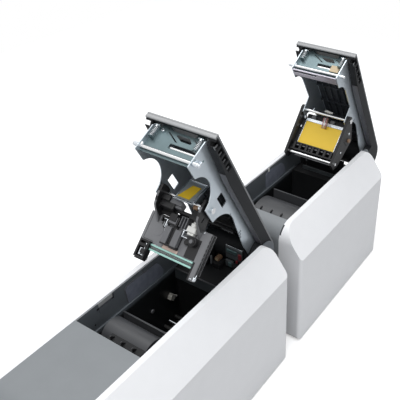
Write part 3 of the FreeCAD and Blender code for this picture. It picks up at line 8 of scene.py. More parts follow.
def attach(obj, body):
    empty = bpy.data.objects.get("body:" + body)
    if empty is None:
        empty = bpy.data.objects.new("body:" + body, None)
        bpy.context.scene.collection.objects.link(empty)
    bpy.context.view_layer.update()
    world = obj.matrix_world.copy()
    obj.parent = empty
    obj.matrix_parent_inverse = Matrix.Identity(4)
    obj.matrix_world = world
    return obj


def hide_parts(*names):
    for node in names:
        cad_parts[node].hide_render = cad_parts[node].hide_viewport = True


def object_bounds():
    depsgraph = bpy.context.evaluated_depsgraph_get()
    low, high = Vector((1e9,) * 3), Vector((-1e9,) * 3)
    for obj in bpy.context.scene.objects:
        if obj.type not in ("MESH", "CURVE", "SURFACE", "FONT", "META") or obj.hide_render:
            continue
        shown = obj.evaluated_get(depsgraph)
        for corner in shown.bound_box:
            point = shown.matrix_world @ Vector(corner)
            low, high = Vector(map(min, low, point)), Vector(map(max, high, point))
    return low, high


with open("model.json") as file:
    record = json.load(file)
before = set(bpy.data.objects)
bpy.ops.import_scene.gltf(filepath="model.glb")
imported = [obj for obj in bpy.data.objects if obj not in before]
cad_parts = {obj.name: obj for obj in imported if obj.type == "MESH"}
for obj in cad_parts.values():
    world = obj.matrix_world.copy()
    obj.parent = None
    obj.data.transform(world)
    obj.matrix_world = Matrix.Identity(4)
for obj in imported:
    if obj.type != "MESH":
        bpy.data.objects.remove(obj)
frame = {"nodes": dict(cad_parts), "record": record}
nodes = frame["nodes"]
cad_low, cad_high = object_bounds()

# Places are in millimetres: x runs across, y back from the front edge of a module's closed lid and
# n down from the top of the closed machine. HINGE holds the y and n of a lid's pins and the angle
# by which it stands open.
TOP = 227.0
FRONT_REACH = 149.0     # foremost point of the part, ahead of the printer's lid
START = {"printer": 0.0, "laminator": 331.9}
HINGE = {"printer": (265.0, 28.0, 63.3), "laminator": (281.2, 79.1, 59.8)}
ORIGIN = -cad_low.y * 1000 - FRONT_REACH


def fixed(module):
    """Turns x, y, n of a piece that stays put into a place in metres."""
    start = START[module]
    return lambda x, y, n: Vector((x, y + start - ORIGIN, TOP - n)) / 1000


def lid(module):
    """The same for a piece of the lid, drawn closed and turned open."""
    hy, hn, angle = HINGE[module]
    c, s = math.cos(math.radians(angle)), math.sin(math.radians(angle))
    start = START[module]

    def place(x, y, n):
        a, b = y - hy, hn - n
        return Vector((x, start + hy + a * c + b * s - ORIGIN, TOP - hn - a * s + b * c)) / 1000
    return place


def sloped(place, y0, n0, slope):
    """Places on a tilted plate: x across, a down the plate, t out of its front."""
    c, s = math.cos(math.radians(slope)), math.sin(math.radians(slope))
    return lambda x, a, t: place(x, y0 + a * s - t * c, n0 + a * c + t * s)


# Places used by the pieces below: fixed and lid of each module, and the plates hung in the lids
PRINTER, LAMINATOR = fixed("printer"), fixed("laminator")
PRINTER_LID, LAMINATOR_LID = lid("printer"), lid("laminator")
CARRIAGE = sloped(PRINTER_LID, 117.02, 78.0, 17.2)
SHIELD = sloped(PRINTER_LID, 97.02, 24.0, -12.2)
HEATER = sloped(LAMINATOR_LID, 130.999, 67.0, 12.529)

# Finishes
MAT = {}
MOTTLE_DETAIL = 3
MOTTLE_LOW, MOTTLE_HIGH = 0.3, 0.7      # the part of the noise that a mottle is spread over
GRAIN_HEIGHT = 0.0003                   # metres that a grain stands up at full strength
FADE_DEPTH = 0.004                      # metres over which a wall fades into its painted shade


def add_node(tree, kind, operation=None, **values):
    """Shader node with its socket values, where _ stands for the blank in a socket's name."""
    node = tree.nodes.new("ShaderNode" + kind)
    if operation:
        node.operation = operation
    for socket, value in values.items():
        node.inputs[socket.replace("_", " ")].default_value = value
    return node


def material(name, colour, rough, metal=0.0, *, mottle, mottle_scale=40.0, grain=0.0,
             grain_scale=900.0, spec=0.5, painted_shade_below=None):
    """Adds a finish to MAT; the last argument is a height in metres and the share of colour left
    below it, painted shade that darkens the finish under that height.
    """
    MAT[name] = bpy.data.materials.new(name)
    MAT[name].use_nodes = True
    tree = MAT[name].node_tree
    link = tree.links.new
    surface = tree.nodes["Principled BSDF"]
    surface.inputs["Base Color"].default_value = (*colour, 1)
    surface.inputs["Roughness"].default_value = rough
    surface.inputs["Metallic"].default_value = metal
    surface.inputs["Specular IOR Level"].default_value = spec
    coords = add_node(tree, "TexCoord")
    noise = add_node(tree, "TexNoise", Scale=mottle_scale, Detail=MOTTLE_DETAIL)
    tone = add_node(tree, "MapRange", From_Min=MOTTLE_LOW, From_Max=MOTTLE_HIGH,
                    To_Min=1 - mottle, To_Max=1 + mottle)
    paint = add_node(tree, "VectorMath", "SCALE", Vector=colour)
    link(coords.outputs["Object"], noise.inputs["Vector"])
    link(noise.outputs["Fac"], tone.inputs["Value"])
    link(tone.outputs["Result"], paint.inputs["Scale"])
    # Painted shade: below the height the colour fades to the given share of itself
    if painted_shade_below:
        height, share = painted_shade_below
        axes = add_node(tree, "SeparateXYZ")
        fade = add_node(tree, "MapRange", From_Min=height - FADE_DEPTH, From_Max=height,
                        To_Min=share, To_Max=1.0)
        darker = add_node(tree, "VectorMath", "SCALE")
        link(coords.outputs["Object"], axes.inputs["Vector"])
        link(axes.outputs["Z"], fade.inputs["Value"])
        link(paint.outputs["Vector"], darker.inputs["Vector"])
        link(fade.outputs["Result"], darker.inputs["Scale"])
        paint = darker
    link(paint.outputs["Vector"], surface.inputs["Base Color"])
    if grain:
        fine = add_node(tree, "TexNoise", Scale=grain_scale)
        bump = add_node(tree, "Bump", Strength=grain, Distance=GRAIN_HEIGHT)
        link(coords.outputs["Object"], fine.inputs["Vector"])
        link(fine.outputs["Fac"], bump.inputs["Height"])
        link(bump.outputs["Normal"], surface.inputs["Normal"])


# Mouldings and panels
material("shell_white", (0.78, 0.785, 0.80), 0.42, grain=0.05, mottle=0.01)
material("panel_grey", (0.205, 0.218, 0.228), 0.5, grain=0.15, mottle=0.02, spec=0.3)
material("lid_grey", (0.16, 0.165, 0.172), 0.42, grain=0.15, mottle=0.02)
material("lid_dark", (0.020, 0.021, 0.023), 0.5, grain=0.1, mottle=0.05, spec=0.1)
material("bay_black", (0.0125, 0.013, 0.014), 0.5, grain=0.1, mottle=0.1, spec=0.2)
material("frame_dark", (0.052, 0.058, 0.066), 0.4, grain=0.1, mottle=0.05, spec=0.3)
# Bay walls and drum covers, copies of the frame finish: painted shade darkens them below a height
# where the bay lies in shadow, and the walls are painted lighter than the frame finish to stand in
# for light
material("wall_grey", (0.10, 0.112, 0.125), 0.32, grain=0.1, mottle=0.05, painted_shade_below=(0.1815, 0.09))
material("drum_grey", (0.050, 0.052, 0.056), 0.36, grain=0.1, mottle=0.04, spec=0.4,
         painted_shade_below=(0.172, 0.3))
material("moulding_grey", (0.31, 0.315, 0.32), 0.38, mottle=0.02)
material("channel_grey", (0.085, 0.085, 0.095), 0.4, mottle=0.04)
material("bulkhead_grey", (0.07, 0.08, 0.085), 0.35, mottle=0.15)
material("button_grey", (0.45, 0.47, 0.50), 0.25, mottle=0.02)
material("inlet_black", (0.012, 0.012, 0.012), 0.3, mottle=0.05)
material("patch_blue", (0.17, 0.185, 0.23), 0.36, grain=0.3, grain_scale=300, mottle=0.15,
         mottle_scale=120)

# Metals
material("plate_metal", (0.58, 0.64, 0.69), 0.30, 0.72, grain=0.04, grain_scale=60, mottle=0.06,
         mottle_scale=25)
# A darker copy of plate_metal for the lid's cross plate: painted shade, standing in for the dark
# that the plate reflects
material("plate_metal_shaded_copy", (0.13, 0.18, 0.192), 0.34, 0.6, mottle=0.12, mottle_scale=25)
material("teal_steel", (0.16, 0.25, 0.26), 0.3, 0.7, mottle=0.08)
material("plum_metal", (0.40, 0.38, 0.43), 0.34, 0.5, mottle=0.05)
material("zinc", (0.70, 0.74, 0.78), 0.25, 1.0, mottle=0.04, mottle_scale=60)
material("rod_steel", (0.80, 0.81, 0.82), 0.2, 1.0, mottle=0.02)
material("spring_steel", (0.50, 0.52, 0.54), 0.3, 1.0, mottle=0.05)
material("motor_metal", (0.10, 0.10, 0.11), 0.35, 0.8, mottle=0.05)

# Print carriage and heater
material("carriage_grey", (0.16, 0.162, 0.17), 0.45, grain=0.1, mottle=0.04)
material("rail_black", (0.012, 0.012, 0.013), 0.38, grain=0.1, mottle=0.1, spec=0.35)
material("clamp_grey", (0.13, 0.132, 0.14), 0.4, mottle=0.04)
material("head_metal", (0.30, 0.50, 0.47), 0.35, 0.3, mottle=0.05)
material("teal", (0.36, 0.62, 0.56), 0.35, 0.1, mottle=0.03)
material("print_element", (0.02, 0.02, 0.022), 0.12, mottle=0.05)
material("element_line", (0.35, 0.42, 0.40), 0.3, 0.4, mottle=0.05)
material("foil_pink", (0.55, 0.42, 0.36), 0.3, 0.4, mottle=0.08)
material("heater_black", (0.013, 0.013, 0.014), 0.42, grain=0.1, mottle=0.1, spec=0.3)
material("plate_yellow", (0.78, 0.52, 0.03), 0.4, mottle=0.02)

# Wires, rollers and small parts
material("connector_white", (0.72, 0.72, 0.69), 0.45, mottle=0.02)
material("cable_white", (0.78, 0.78, 0.75), 0.45, mottle=0.02)
material("wire_pink", (0.60, 0.30, 0.32), 0.45, mottle=0.03)
material("roller_rubber", (0.02, 0.02, 0.02), 0.6, grain=0.1, mottle=0.05)
material("foot_rubber", (0.02, 0.02, 0.02), 0.7, grain=0.1, mottle=0.05)
material("gear_white", (0.34, 0.33, 0.30), 0.45, mottle=0.02)
material("board_green", (0.01, 0.13, 0.06), 0.4, mottle=0.1, mottle_scale=200)
material("brown", (0.20, 0.12, 0.07), 0.45, mottle=0.08)
material("tan", (0.48, 0.38, 0.24), 0.5, mottle=0.05)
material("dark_red", (0.16, 0.02, 0.025), 0.4, mottle=0.05)

# The imported solids take their slot's finish, apart from these parts of each module, whose
# finishes carry painted shade: the frames and the drum cover are darkened below a height, and the
# cross plate takes a darker copy of the plate metal
finish_of = {entry["node"]: entry["material_slot"] for entry in frame["record"]["subparts"]}
for module in START:
    for part, finish in (("left_frame", "wall_grey"), ("right_frame", "wall_grey"),
                         ("drum_cover", "drum_grey"), ("lid_cross_plate", "plate_metal_shaded_copy")):
        finish_of[module + "_" + part] = finish
for name, obj in nodes.items():
    obj.data.materials.clear()
    obj.data.materials.append(MAT[finish_of[name]])
    for polygon in obj.data.polygons:
        polygon.material_index = 0

SMOOTH_BELOW = math.radians(35)
BAR_SIDES = 24
FLAT_LIMIT = 0.01           # radians between two faces that count as one


def soften(obj, width, segments=2, angle=30):
    """Rounds the edges that are sharper than an angle in degrees, by a width in millimetres."""
    bevel = obj.modifiers.new("soft_edges", "BEVEL")
    bevel.width = width / 1000
    bevel.segments = segments
    bevel.limit_method = "ANGLE"
    bevel.angle_limit = math.radians(angle)


def make(name, bm, mat, body, soft=0.0, stands_for=()):
    """Object from a bmesh drawn in metres in the shared frame, riding on a body."""
    bmesh.ops.recalc_face_normals(bm, faces=bm.faces)
    mesh = bpy.data.meshes.new(name)
    bm.to_mesh(mesh)
    bm.free()
    mesh.materials.append(MAT[mat])
    mesh.shade_smooth()
    mesh.set_sharp_from_angle(angle=SMOOTH_BELOW)
    obj = bpy.data.objects.new(name, mesh)
    bpy.context.scene.collection.objects.link(obj)
    if soft:
        soften(obj, soft)
    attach(obj, body)
    if stands_for:
        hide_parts(*stands_for)


def add_box(bm, place, x0, x1, y0, y1, n0, n1):
    """Box between two values of each coordinate."""
    for corner in bmesh.ops.create_cube(bm, size=2)["verts"]:
        x, y, n = corner.co
        corner.co = place(x1 if x > 0 else x0, y1 if y > 0 else y0, n1 if n > 0 else n0)


def add_outline(bm, points):
    """Closed ring of edges through places in metres."""
    verts = [bm.verts.new(point) for point in points]
    return [bm.edges.new((verts[i - 1], verts[i])) for i in range(len(verts))]


def add_slab(bm, rings, shift):
    """Fills rings of edges, the holes among them, and pulls the sheet along a shift in metres."""
    edges = [edge for ring in rings for edge in ring]
    filled = bmesh.ops.triangle_fill(bm, use_beauty=True, edges=edges)["geom"]
    sheet = [part for part in filled if isinstance(part, bmesh.types.BMFace)]
    pulled = bmesh.ops.extrude_face_region(bm, geom=sheet)["geom"]
    corners = [part for part in pulled if isinstance(part, bmesh.types.BMVert)]
    bmesh.ops.translate(bm, vec=shift, verts=corners)
    bmesh.ops.dissolve_limit(bm, angle_limit=FLAT_LIMIT, verts=bm.verts, edges=bm.edges)


def add_bar(bm, start, end, radius):
    """Round bar between two places in metres, with its radius in millimetres."""
    axis = end - start
    turn = axis.to_track_quat("Z", "Y").to_matrix().to_4x4()
    bmesh.ops.create_cone(bm, cap_ends=True, segments=BAR_SIDES, radius1=radius / 1000,
                          radius2=radius / 1000, depth=axis.length,
                          matrix=Matrix.Translation((start + end) / 2) @ turn)


def piece(name, place, mat, body, boxes=(), prisms=(), bars=(), soft=0.0, stands_for=()):
    """One object drawn in millimetres. A box is x0, x1, y0, y1, n0, n1. A prism is an outline of
    (y, n) points, x0, x1 and the outlines of its holes. A bar is its two ends and its radius."""
    bm = bmesh.new()
    for sides in boxes:
        add_box(bm, place, *sides)
    for outline, x0, x1, *holes in prisms:
        rings = [add_outline(bm, [place(x0, y, n) for y, n in ring]) for ring in (outline, *holes)]
        add_slab(bm, rings, place(x1, 0, 0) - place(x0, 0, 0))
    for start, end, radius in bars:
        add_bar(bm, place(*start), place(*end), radius)
    make(name, bm, mat, body, soft, stands_for)


def panel(name, place, mat, body, outline, t0, t1):
    """Flat piece from an outline of (x, a) points on a tilted plate, from t0 to t1 out of it."""
    bm = bmesh.new()
    ring = add_outline(bm, [place(x, a, t0) for x, a in outline])
    add_slab(bm, [ring], place(0, 0, t1) - place(0, 0, t0))
    make(name, bm, mat, body)


def wire(name, points, radius, mat, body):
    """Smooth wire through places in metres, as a mesh."""
    curve = bpy.data.curves.new(name + "_line", "CURVE")
    curve.dimensions = "3D"
    curve.bevel_depth = radius / 1000
    curve.bevel_resolution = 4
    curve.use_fill_caps = True
    spline = curve.splines.new("NURBS")
    spline.points.add(len(points) - 1)
    for target, point in zip(spline.points, points):
        target.co = (*point, 1)
    spline.use_endpoint_u = True
    spline.order_u = 3
    spline.resolution_u = 6
    holder = bpy.data.objects.new(name + "_holder", curve)
    bpy.context.scene.collection.objects.link(holder)
    bpy.context.view_layer.update()
    graph = bpy.context.evaluated_depsgraph_get()
    swept = bpy.data.meshes.new_from_object(holder.evaluated_get(graph))
    bpy.data.objects.remove(holder)
    bm = bmesh.new()
    bm.from_mesh(swept)
    bpy.data.meshes.remove(swept)
    make(name, bm, mat, body)


# White covers: their flat faces joined, their edges rounded
for module in START:
    for side in ("left", "right"):
        cover = nodes["%s_%s_cover" % (module, side)]
        flat = cover.modifiers.new("flat_faces", "DECIMATE")
        flat.decimate_type = "DISSOLVE"
        flat.angle_limit = math.radians(1.5)
        soften(cover, 1.4, segments=3, angle=25)

# Both lids: front moulding, spring hooks, side pockets with their ribs, side channel, inner tray
MOULDING = [(2.0, -0.5), (-0.3, -0.7), (-0.75, -0.3), (-0.8, 0.8), (-0.55, 1.4), (-0.15, 1.7),
            (-0.15, 2.6), (-0.45, 3.4), (-0.7, 4.8), (-0.6, 6.0), (-0.1, 6.8), (1.5, 7.0),
            (2.4, 6.5)]
POCKETS = ((9.5, 16.5), (19.5, 31.5), (34.5, 46.5), (49.5, 61.5))
RIBS = (18.0, 33.0, 48.0, 63.0)
RIB_GAP = 2.6
TRAY_LENGTHWISE = (-26, -13, 0, 13, 26)
TRAY_ACROSS = (60, 96, 140, 184, 226)
TRAY_RIB = 1.6

for module, place in (("printer", PRINTER_LID), ("laminator", LAMINATOR_LID)):
    body = module + "_lid"
    piece(module + "_lid_front_moulding", place, "moulding_grey", body,
          prisms=[(MOULDING, -55.3, 55.3)], soft=0.15)
    piece(module + "_spring_hooks", place, "zinc", body,
          boxes=[(-38.5, -31.0, 4.2, 8.2, 9.6, 11.0), (31.0, 38.5, 4.2, 8.2, 9.6, 11.0),
                 (-36.2, -33.8, 4.0, 5.0, 9.6, 13.6), (33.8, 36.2, 4.0, 5.0, 9.6, 13.6)], soft=0.3)
    piece(module + "_pocket_ribs", place, "lid_grey", body,
          bars=[((54.0, y, 12.6), (54.0, y, 4.6), 1.35) for y in RIBS] +
          [((51.0, y - RIB_GAP, 12.4), (51.0, y - RIB_GAP, 4.8), 1.0) for y in RIBS] +
          [((54.4, 64.5, 5.0), (54.4, 70.0, 12.0), 1.0),
           ((54.4, 70.0, 12.0), (54.4, 76.0, 6.0), 1.0)])
    piece(module + "_pocket_backs", place, "bay_black", body,
          boxes=[(47.6, 48.0, y0, y1, 4.3, 12.9) for y0, y1 in POCKETS])
    piece(module + "_pocket_border", place, "lid_grey", body,
          prisms=[([(8.0, 13.1), (64.0, 13.1), (64.0, 14.4), (9.4, 14.4)], 53.6, 55.35)], soft=0.2)
    piece(module + "_side_channel", place, "channel_grey", body,
          prisms=[([(60.0, 18.6), (80.0, 19.95), (243.0, 19.95), (243.0, 20.55), (80.0, 20.55),
                    (60.0, 19.2)], 45.2, 55.0)], soft=0.15)
    piece(module + "_lid_inner_tray", place, "frame_dark", body,
          boxes=[(-39, 39, 38, 232, 3.0, 5.0)] +
          [(x, x + TRAY_RIB, 60, 228, 5.0, 9.0) for x in TRAY_LENGTHWISE] +
          [(-39, 39, y, y + TRAY_RIB, 5.0, 10.0) for y in TRAY_ACROSS], soft=0.3)

# Printer lid: bracket and boss of the cross plate, ends and hook of the latch bar, plate slot
piece("cross_plate_bracket", PRINTER_LID, "teal_steel", "printer_lid",
      boxes=[(-39.5, -24.0, 13.6, 22.0, 11.0, 12.2), (-37.0, -35.8, 13.6, 22.4, 12.0, 27.0),
             (-30.0, -22.0, 13.7, 15.2, 13.0, 27.0)],
      bars=[((-31.0, 13.5, 20.5), (-31.0, 24.0, 20.5), 6.0)], soft=0.4)
piece("cross_plate_boss", PRINTER_LID, "zinc", "printer_lid",
      bars=[((-26.6, 9.2, 12.4), (-26.6, 12.2, 12.4), 2.1)], soft=0.4)
piece("cross_plate_boss_hole", PRINTER_LID, "bay_black", "printer_lid",
      bars=[((-26.6, 9.0, 12.4), (-26.6, 9.3, 12.4), 1.1)])
piece("latch_bar_end", PRINTER_LID, "zinc", "printer_latch",
      bars=[((43.0, 9.0, 43.0), (50.5, 9.0, 43.0), 3.3),
            ((50.5, 9.0, 43.0), (53.0, 9.0, 43.0), 2.4),
            ((-50.5, 9.0, 43.0), (-43.0, 9.0, 43.0), 3.0)], soft=0.4)
piece("latch_bar_hook", PRINTER_LID, "zinc", "printer_lid",
      boxes=[(42.3, 47.0, 15.2, 17.0, 33.0, 41.0), (42.3, 48.5, 13.0, 17.0, 40.0, 41.6),
             (45.5, 47.0, 12.6, 14.2, 38.0, 44.0)], soft=0.4)
piece("plate_slot", PRINTER_LID, "teal_steel", "printer_lid",
      prisms=[([(17.0, 37.0), (18.6, 38.4), (24.2, 28.6), (22.6, 27.2)], 42.25, 42.6)])

# Shield: raised rim and a plain yellow patch
piece("shield_rim", SHIELD, "zinc", "printer_lid",
      boxes=[(-13.5, 17.5, 0.2, 1.8, 0.4, 1.5), (-13.5, -12.1, 1.8, 37.0, 0.4, 1.5),
             (16.1, 17.5, 1.8, 37.0, 0.4, 1.5), (-13.5, 17.5, 35.8, 37.6, 0.4, 1.5)], soft=0.3)
panel("yellow_patch", SHIELD, "plate_yellow", "printer_lid",
      [(-11.0, 32.5), (8.5, 32.5), (11.5, 9.0), (-2.5, 9.0)], 0.58, 0.8)

# Print carriage: everything on its plate
RAIL_SLOT_STEP = 6.1
RAIL_TOOTH_STEP = 7.6
piece("clamp_bars", CARRIAGE, "clamp_grey", "print_carriage",
      boxes=[(-14.0, -4.5, 12.0, 35.0, 1.5, 11.0), (2.5, 12.0, 12.0, 35.0, 1.5, 11.0),
             (-14.0, 12.0, 1.0, 35.0, 1.5, 4.5)], soft=0.5, stands_for=("cable_block",))
piece("clamp_faces", CARRIAGE, "rail_black", "print_carriage",
      boxes=[(-4.3, 2.3, 9.5, 34.0, 4.4, 7.5), (-14.3, 3.2, 34.2, 37.0, 1.5, 9.8),
             (2.2, 12.3, 34.2, 38.0, 1.5, 9.6), (-14.2, -12.8, 14.0, 33.0, 1.5, 9.5)], soft=0.3)
piece("clamp_box", CARRIAGE, "rail_black", "print_carriage",
      boxes=[(-14.0, 3.0, -4.0, 9.0, 1.5, 13.0), (-11.0, 0.0, -6.5, 4.0, 4.0, 16.0)], soft=0.8)
piece("clamp_box_lid", CARRIAGE, "clamp_grey", "print_carriage",
      boxes=[(-11.5, 1.0, -2.5, 7.0, 13.0, 14.2)], soft=0.4)
piece("clip_cluster", CARRIAGE, "rail_black", "print_carriage",
      boxes=[(-28.0, -26.0, 1.0, 9.0, 1.5, 7.5), (-28.0, -20.0, 1.0, 3.0, 1.5, 8.5),
             (-24.0, -22.4, 3.0, 12.0, 1.5, 6.0), (-20.6, -14.0, 6.5, 8.0, 1.5, 9.0),
             (-19.6, -18.0, 6.5, 16.0, 1.5, 9.0), (-26.0, -18.0, 11.0, 12.6, 1.5, 5.0)], soft=0.3)
piece("clip_springs", CARRIAGE, "zinc", "print_carriage",
      boxes=[(-22.0, -15.0, 3.6, 4.6, 6.0, 9.6), (-17.2, -15.8, 4.0, 15.0, 8.6, 9.8),
             (-21.6, -20.4, 8.4, 14.0, 4.0, 6.8), (-15.4, -14.4, 9.6, 20.0, 6.6, 9.2)], soft=0.2)
piece("guide_fins", CARRIAGE, "clamp_grey", "print_carriage",
      boxes=[(4.2, 5.6, -7.5, 7.5, 1.5, 11.5), (8.4, 9.8, -7.5, 8.5, 1.5, 11.0),
             (12.6, 14.0, -7.5, 8.5, 1.5, 10.5), (4.2, 14.0, -7.5, -6.2, 1.5, 9.0)], soft=0.3)
piece("plate_right_shade", CARRIAGE, "rail_black", "print_carriage",
      boxes=[(24.0, 41.4, 13.0, 41.0, 1.45, 1.75)], soft=0.1)
piece("guide_gaps", CARRIAGE, "bay_black", "print_carriage",
      boxes=[(5.6, 8.4, -6.2, 8.0, 1.6, 3.0), (9.8, 12.6, -6.2, 8.5, 1.6, 3.0)])
piece("cable_plug", CARRIAGE, "connector_white", "print_carriage",
      boxes=[(17.0, 31.0, 1.0, 9.0, 1.5, 10.5), (19.0, 29.0, 9.0, 12.5, 1.5, 9.0)],
      bars=[((24.0, 1.4, 6.6), (24.0, -4.0, 6.6), 4.2)], soft=1.0)
piece("plug_latch", CARRIAGE, "zinc", "print_carriage",
      boxes=[(12.6, 17.2, 8.0, 9.4, 4.0, 10.0), (13.0, 14.4, 9.4, 18.0, 4.0, 9.0),
             (13.6, 22.0, 16.6, 18.0, 4.0, 8.0)], soft=0.3)
piece("cable_cap", CARRIAGE, "rail_black", "print_carriage",
      bars=[((31.0, 19.0, 1.5), (31.0, 19.0, 9.0), 6.5),
            ((31.0, 19.0, 9.0), (31.0, 19.0, 10.6), 4.6),
            ((22.0, 22.5, 1.5), (22.0, 22.5, 6.5), 3.4)],
      boxes=[(20.0, 31.0, 14.0, 19.0, 1.5, 7.5)], soft=0.4)
piece("cable_cap_inner", CARRIAGE, "clamp_grey", "print_carriage",
      bars=[((31.0, 19.0, 10.5), (31.0, 19.0, 11.1), 2.6)])
piece("plate_circle", CARRIAGE, "carriage_grey", "print_carriage",
      bars=[((-30.3, 21.5, 1.4), (-30.3, 21.5, 1.75), 9.0)], soft=0.15)
piece("plate_seams", CARRIAGE, "rail_black", "print_carriage",
      boxes=[(-46.0, -29.8, 38.6, 39.2, 1.45, 1.62), (-29.8, -29.2, 39.2, 42.2, 1.45, 1.62),
             (-47.0, -46.4, 2.0, 39.2, 1.45, 1.62)])
piece("pink_foil", CARRIAGE, "foil_pink", "print_carriage",
      boxes=[(-12.0, 13.5, 37.2, 42.2, 1.5, 2.6)], soft=0.3)
piece("head_teal_bands", CARRIAGE, "teal", "print_carriage",
      boxes=[(-29.5, 41.6, 42.4, 44.7, 2.0, 3.4), (-29.5, 41.6, 49.0, 51.5, 2.0, 2.9)], soft=0.25)
piece("head_element", CARRIAGE, "print_element", "print_carriage",
      boxes=[(-29.5, 41.6, 44.7, 49.0, 2.0, 2.5)])
piece("head_element_lines", CARRIAGE, "element_line", "print_carriage",
      boxes=[(-28.5, 41.0, 45.5, 45.8, 2.5, 2.62), (-28.5, 41.0, 46.7, 47.0, 2.5, 2.62),
             (-28.5, 41.0, 47.9, 48.1, 2.5, 2.62)])
piece("end_block_metal", CARRIAGE, "zinc", "print_carriage",
      boxes=[(-42.0, -39.0, 52.0, 62.0, 1.0, 4.8), (-38.0, -33.0, 60.5, 62.0, 1.0, 5.0),
             (-37.0, -35.8, 44.0, 60.0, 1.0, 3.6)], soft=0.3)
piece("end_block_parts", CARRIAGE, "rail_black", "print_carriage",
      boxes=[(-44.0, -32.0, 46.0, 50.0, 1.0, 8.0), (-38.0, -31.0, 53.0, 59.0, 1.0, 8.6),
             (-45.6, -30.2, 64.0, 68.0, -2.0, 5.0)], soft=0.5)
piece("right_rail_face", CARRIAGE, "carriage_grey", "print_carriage",
      boxes=[(44.6, 51.0, 0.2, 65.8, 1.5, 1.9)], soft=0.2)
piece("right_rail_bars", CARRIAGE, "clamp_grey", "print_carriage",
      boxes=[(51.0, 51.7, 0.5, 57.0, -3.4, -2.6), (51.0, 51.7, 0.5, 57.0, -11.0, -10.2),
             (50.9, 51.5, 0.5, 65.5, 0.6, 1.4)], soft=0.2)
piece("right_rail_slots", CARRIAGE, "bay_black", "print_carriage",
      boxes=[(50.9, 51.15, 2.0 + RAIL_SLOT_STEP * i, 6.2 + RAIL_SLOT_STEP * i, -1.8, 0.2)
             for i in range(10)] +
      [(49.6, 51.1, 1.0, 56.5, -9.6, -5.0)])
piece("right_rail_teeth", CARRIAGE, "rail_black", "print_carriage",
      boxes=[(51.0, 52.6, 4.0 + RAIL_TOOTH_STEP * i, 5.8 + RAIL_TOOTH_STEP * i, -9.8, -4.0)
             for i in range(7)], soft=0.2)
piece("right_rail_clip", CARRIAGE, "zinc", "print_carriage",
      boxes=[(49.5, 52.6, 59.5, 65.0, -4.0, 1.6), (46.0, 49.5, 62.5, 64.0, 1.8, 3.4),
             (50.6, 52.0, 56.0, 60.0, -3.4, -2.0)], soft=0.5)
piece("rail_screw", CARRIAGE, "zinc", "print_carriage",
      bars=[((39.0, 2.0, 1.4), (39.0, 2.0, 2.6), 1.7)], soft=0.3)

# Arms, and the black mechanism between them
ARM = [(81.6, 50.0), (82.6, 60.0), (85.6, 69.0), (91.0, 77.4), (97.0, 80.6), (112.0, 84.0),
       (118.2, 78.0), (112.0, 66.0), (104.4, 54.0), (99.0, 48.0), (92.0, 47.4)]
ARM_SLOT = [(99.0, 66.8), (101.6, 66.8), (101.6, 74.8), (99.0, 74.8)]
piece("left_arm_cover", PRINTER_LID, "rail_black", "print_carriage",
      prisms=[(ARM, -37.3, -33.7, ARM_SLOT)], soft=0.4)
piece("right_arm_cover", PRINTER_LID, "rail_black", "print_carriage",
      prisms=[(ARM, 33.7, 37.3, ARM_SLOT)], soft=0.4)
piece("arm_mechanism", PRINTER_LID, "rail_black", "print_carriage",
      boxes=[(-33.5, -10.0, 96.0, 113.0, 64.0, 74.0), (-33.5, -20.0, 92.0, 104.0, 58.0, 66.0),
             (17.0, 33.5, 99.0, 113.0, 60.0, 75.0), (-6.0, 24.0, 103.0, 112.0, 67.5, 72.0),
             (-33.5, 33.5, 110.0, 114.0, 72.0, 79.0)], soft=0.8)
piece("arm_mechanism_grey", PRINTER_LID, "clamp_grey", "print_carriage",
      boxes=[(-20.0, -1.0, 95.0, 108.0, 59.0, 66.0), (-14.0, 0.0, 98.0, 108.0, 66.0, 69.5)],
      soft=0.6)
piece("arm_tube", PRINTER_LID, "zinc", "print_carriage",
      bars=[((-33.0, 100.0, 57.0), (-20.0, 100.0, 57.0), 3.2),
            ((22.0, 99.0, 57.5), (33.0, 99.0, 57.5), 3.2)],
      soft=0.3)
piece("arm_tube_brown", PRINTER_LID, "brown", "print_carriage",
      bars=[((15.0, 99.0, 58.5), (22.5, 99.0, 58.5), 3.6)], soft=0.5)

# Behind the print carriage: the box in the lid's tail and the parts on the printer's rear bulkhead
piece("lid_tail_box", PRINTER_LID, "rail_black", "printer_lid",
      boxes=[(-34.0, 26.0, 196.0, 213.0, 12.0, 30.0), (-34.0, 18.0, 184.0, 198.0, 12.0, 24.0),
             (-30.0, 22.0, 204.0, 213.0, 29.0, 33.0), (-34.0, 26.0, 212.0, 224.0, 12.0, 19.2)],
      soft=1.2)
piece("lid_tail_clips", PRINTER_LID, "clamp_grey", "printer_lid",
      boxes=[(-8.0, 4.0, 209.0, 213.6, 24.0, 31.0), (2.0, 22.0, 206.0, 208.0, 32.6, 34.0),
             (-28.0, -26.0, 204.0, 212.6, 32.6, 34.0), (12.0, 13.6, 208.0, 212.6, 32.6, 34.2)],
      soft=0.5)
piece("rear_ledge", PRINTER, "zinc", "base",
      boxes=[(9.0, 39.0, 232.4, 234.4, 4.0, 5.4)], soft=0.3)
piece("rear_panel", PRINTER, "bulkhead_grey", "base",
      boxes=[(9.0, 39.0, 231.0, 233.0, 5.4, 27.0), (10.0, 24.0, 228.0, 232.0, 29.0, 41.0)],
      soft=0.8)
piece("rear_panel_steps", PRINTER, "teal_steel", "base",
      boxes=[(12.0, 30.0, 229.4, 231.0, 9.0, 15.0), (16.0, 22.0, 226.4, 228.0, 31.0, 39.0)],
      soft=0.5)
piece("rear_post", PRINTER, "panel_grey", "base",
      boxes=[(-14.0, -11.4, 221.0, 224.0, 28.0, 43.4)], soft=0.5)
piece("rear_socket", PRINTER, "brown", "base",
      bars=[((-2.0, 222.0, 31.0), (-2.0, 232.0, 31.0), 4.4)], soft=0.6)
piece("rear_socket_cap", PRINTER, "tan", "base",
      bars=[((-2.0, 221.6, 31.0), (-2.0, 222.4, 31.0), 2.6)], soft=0.2)
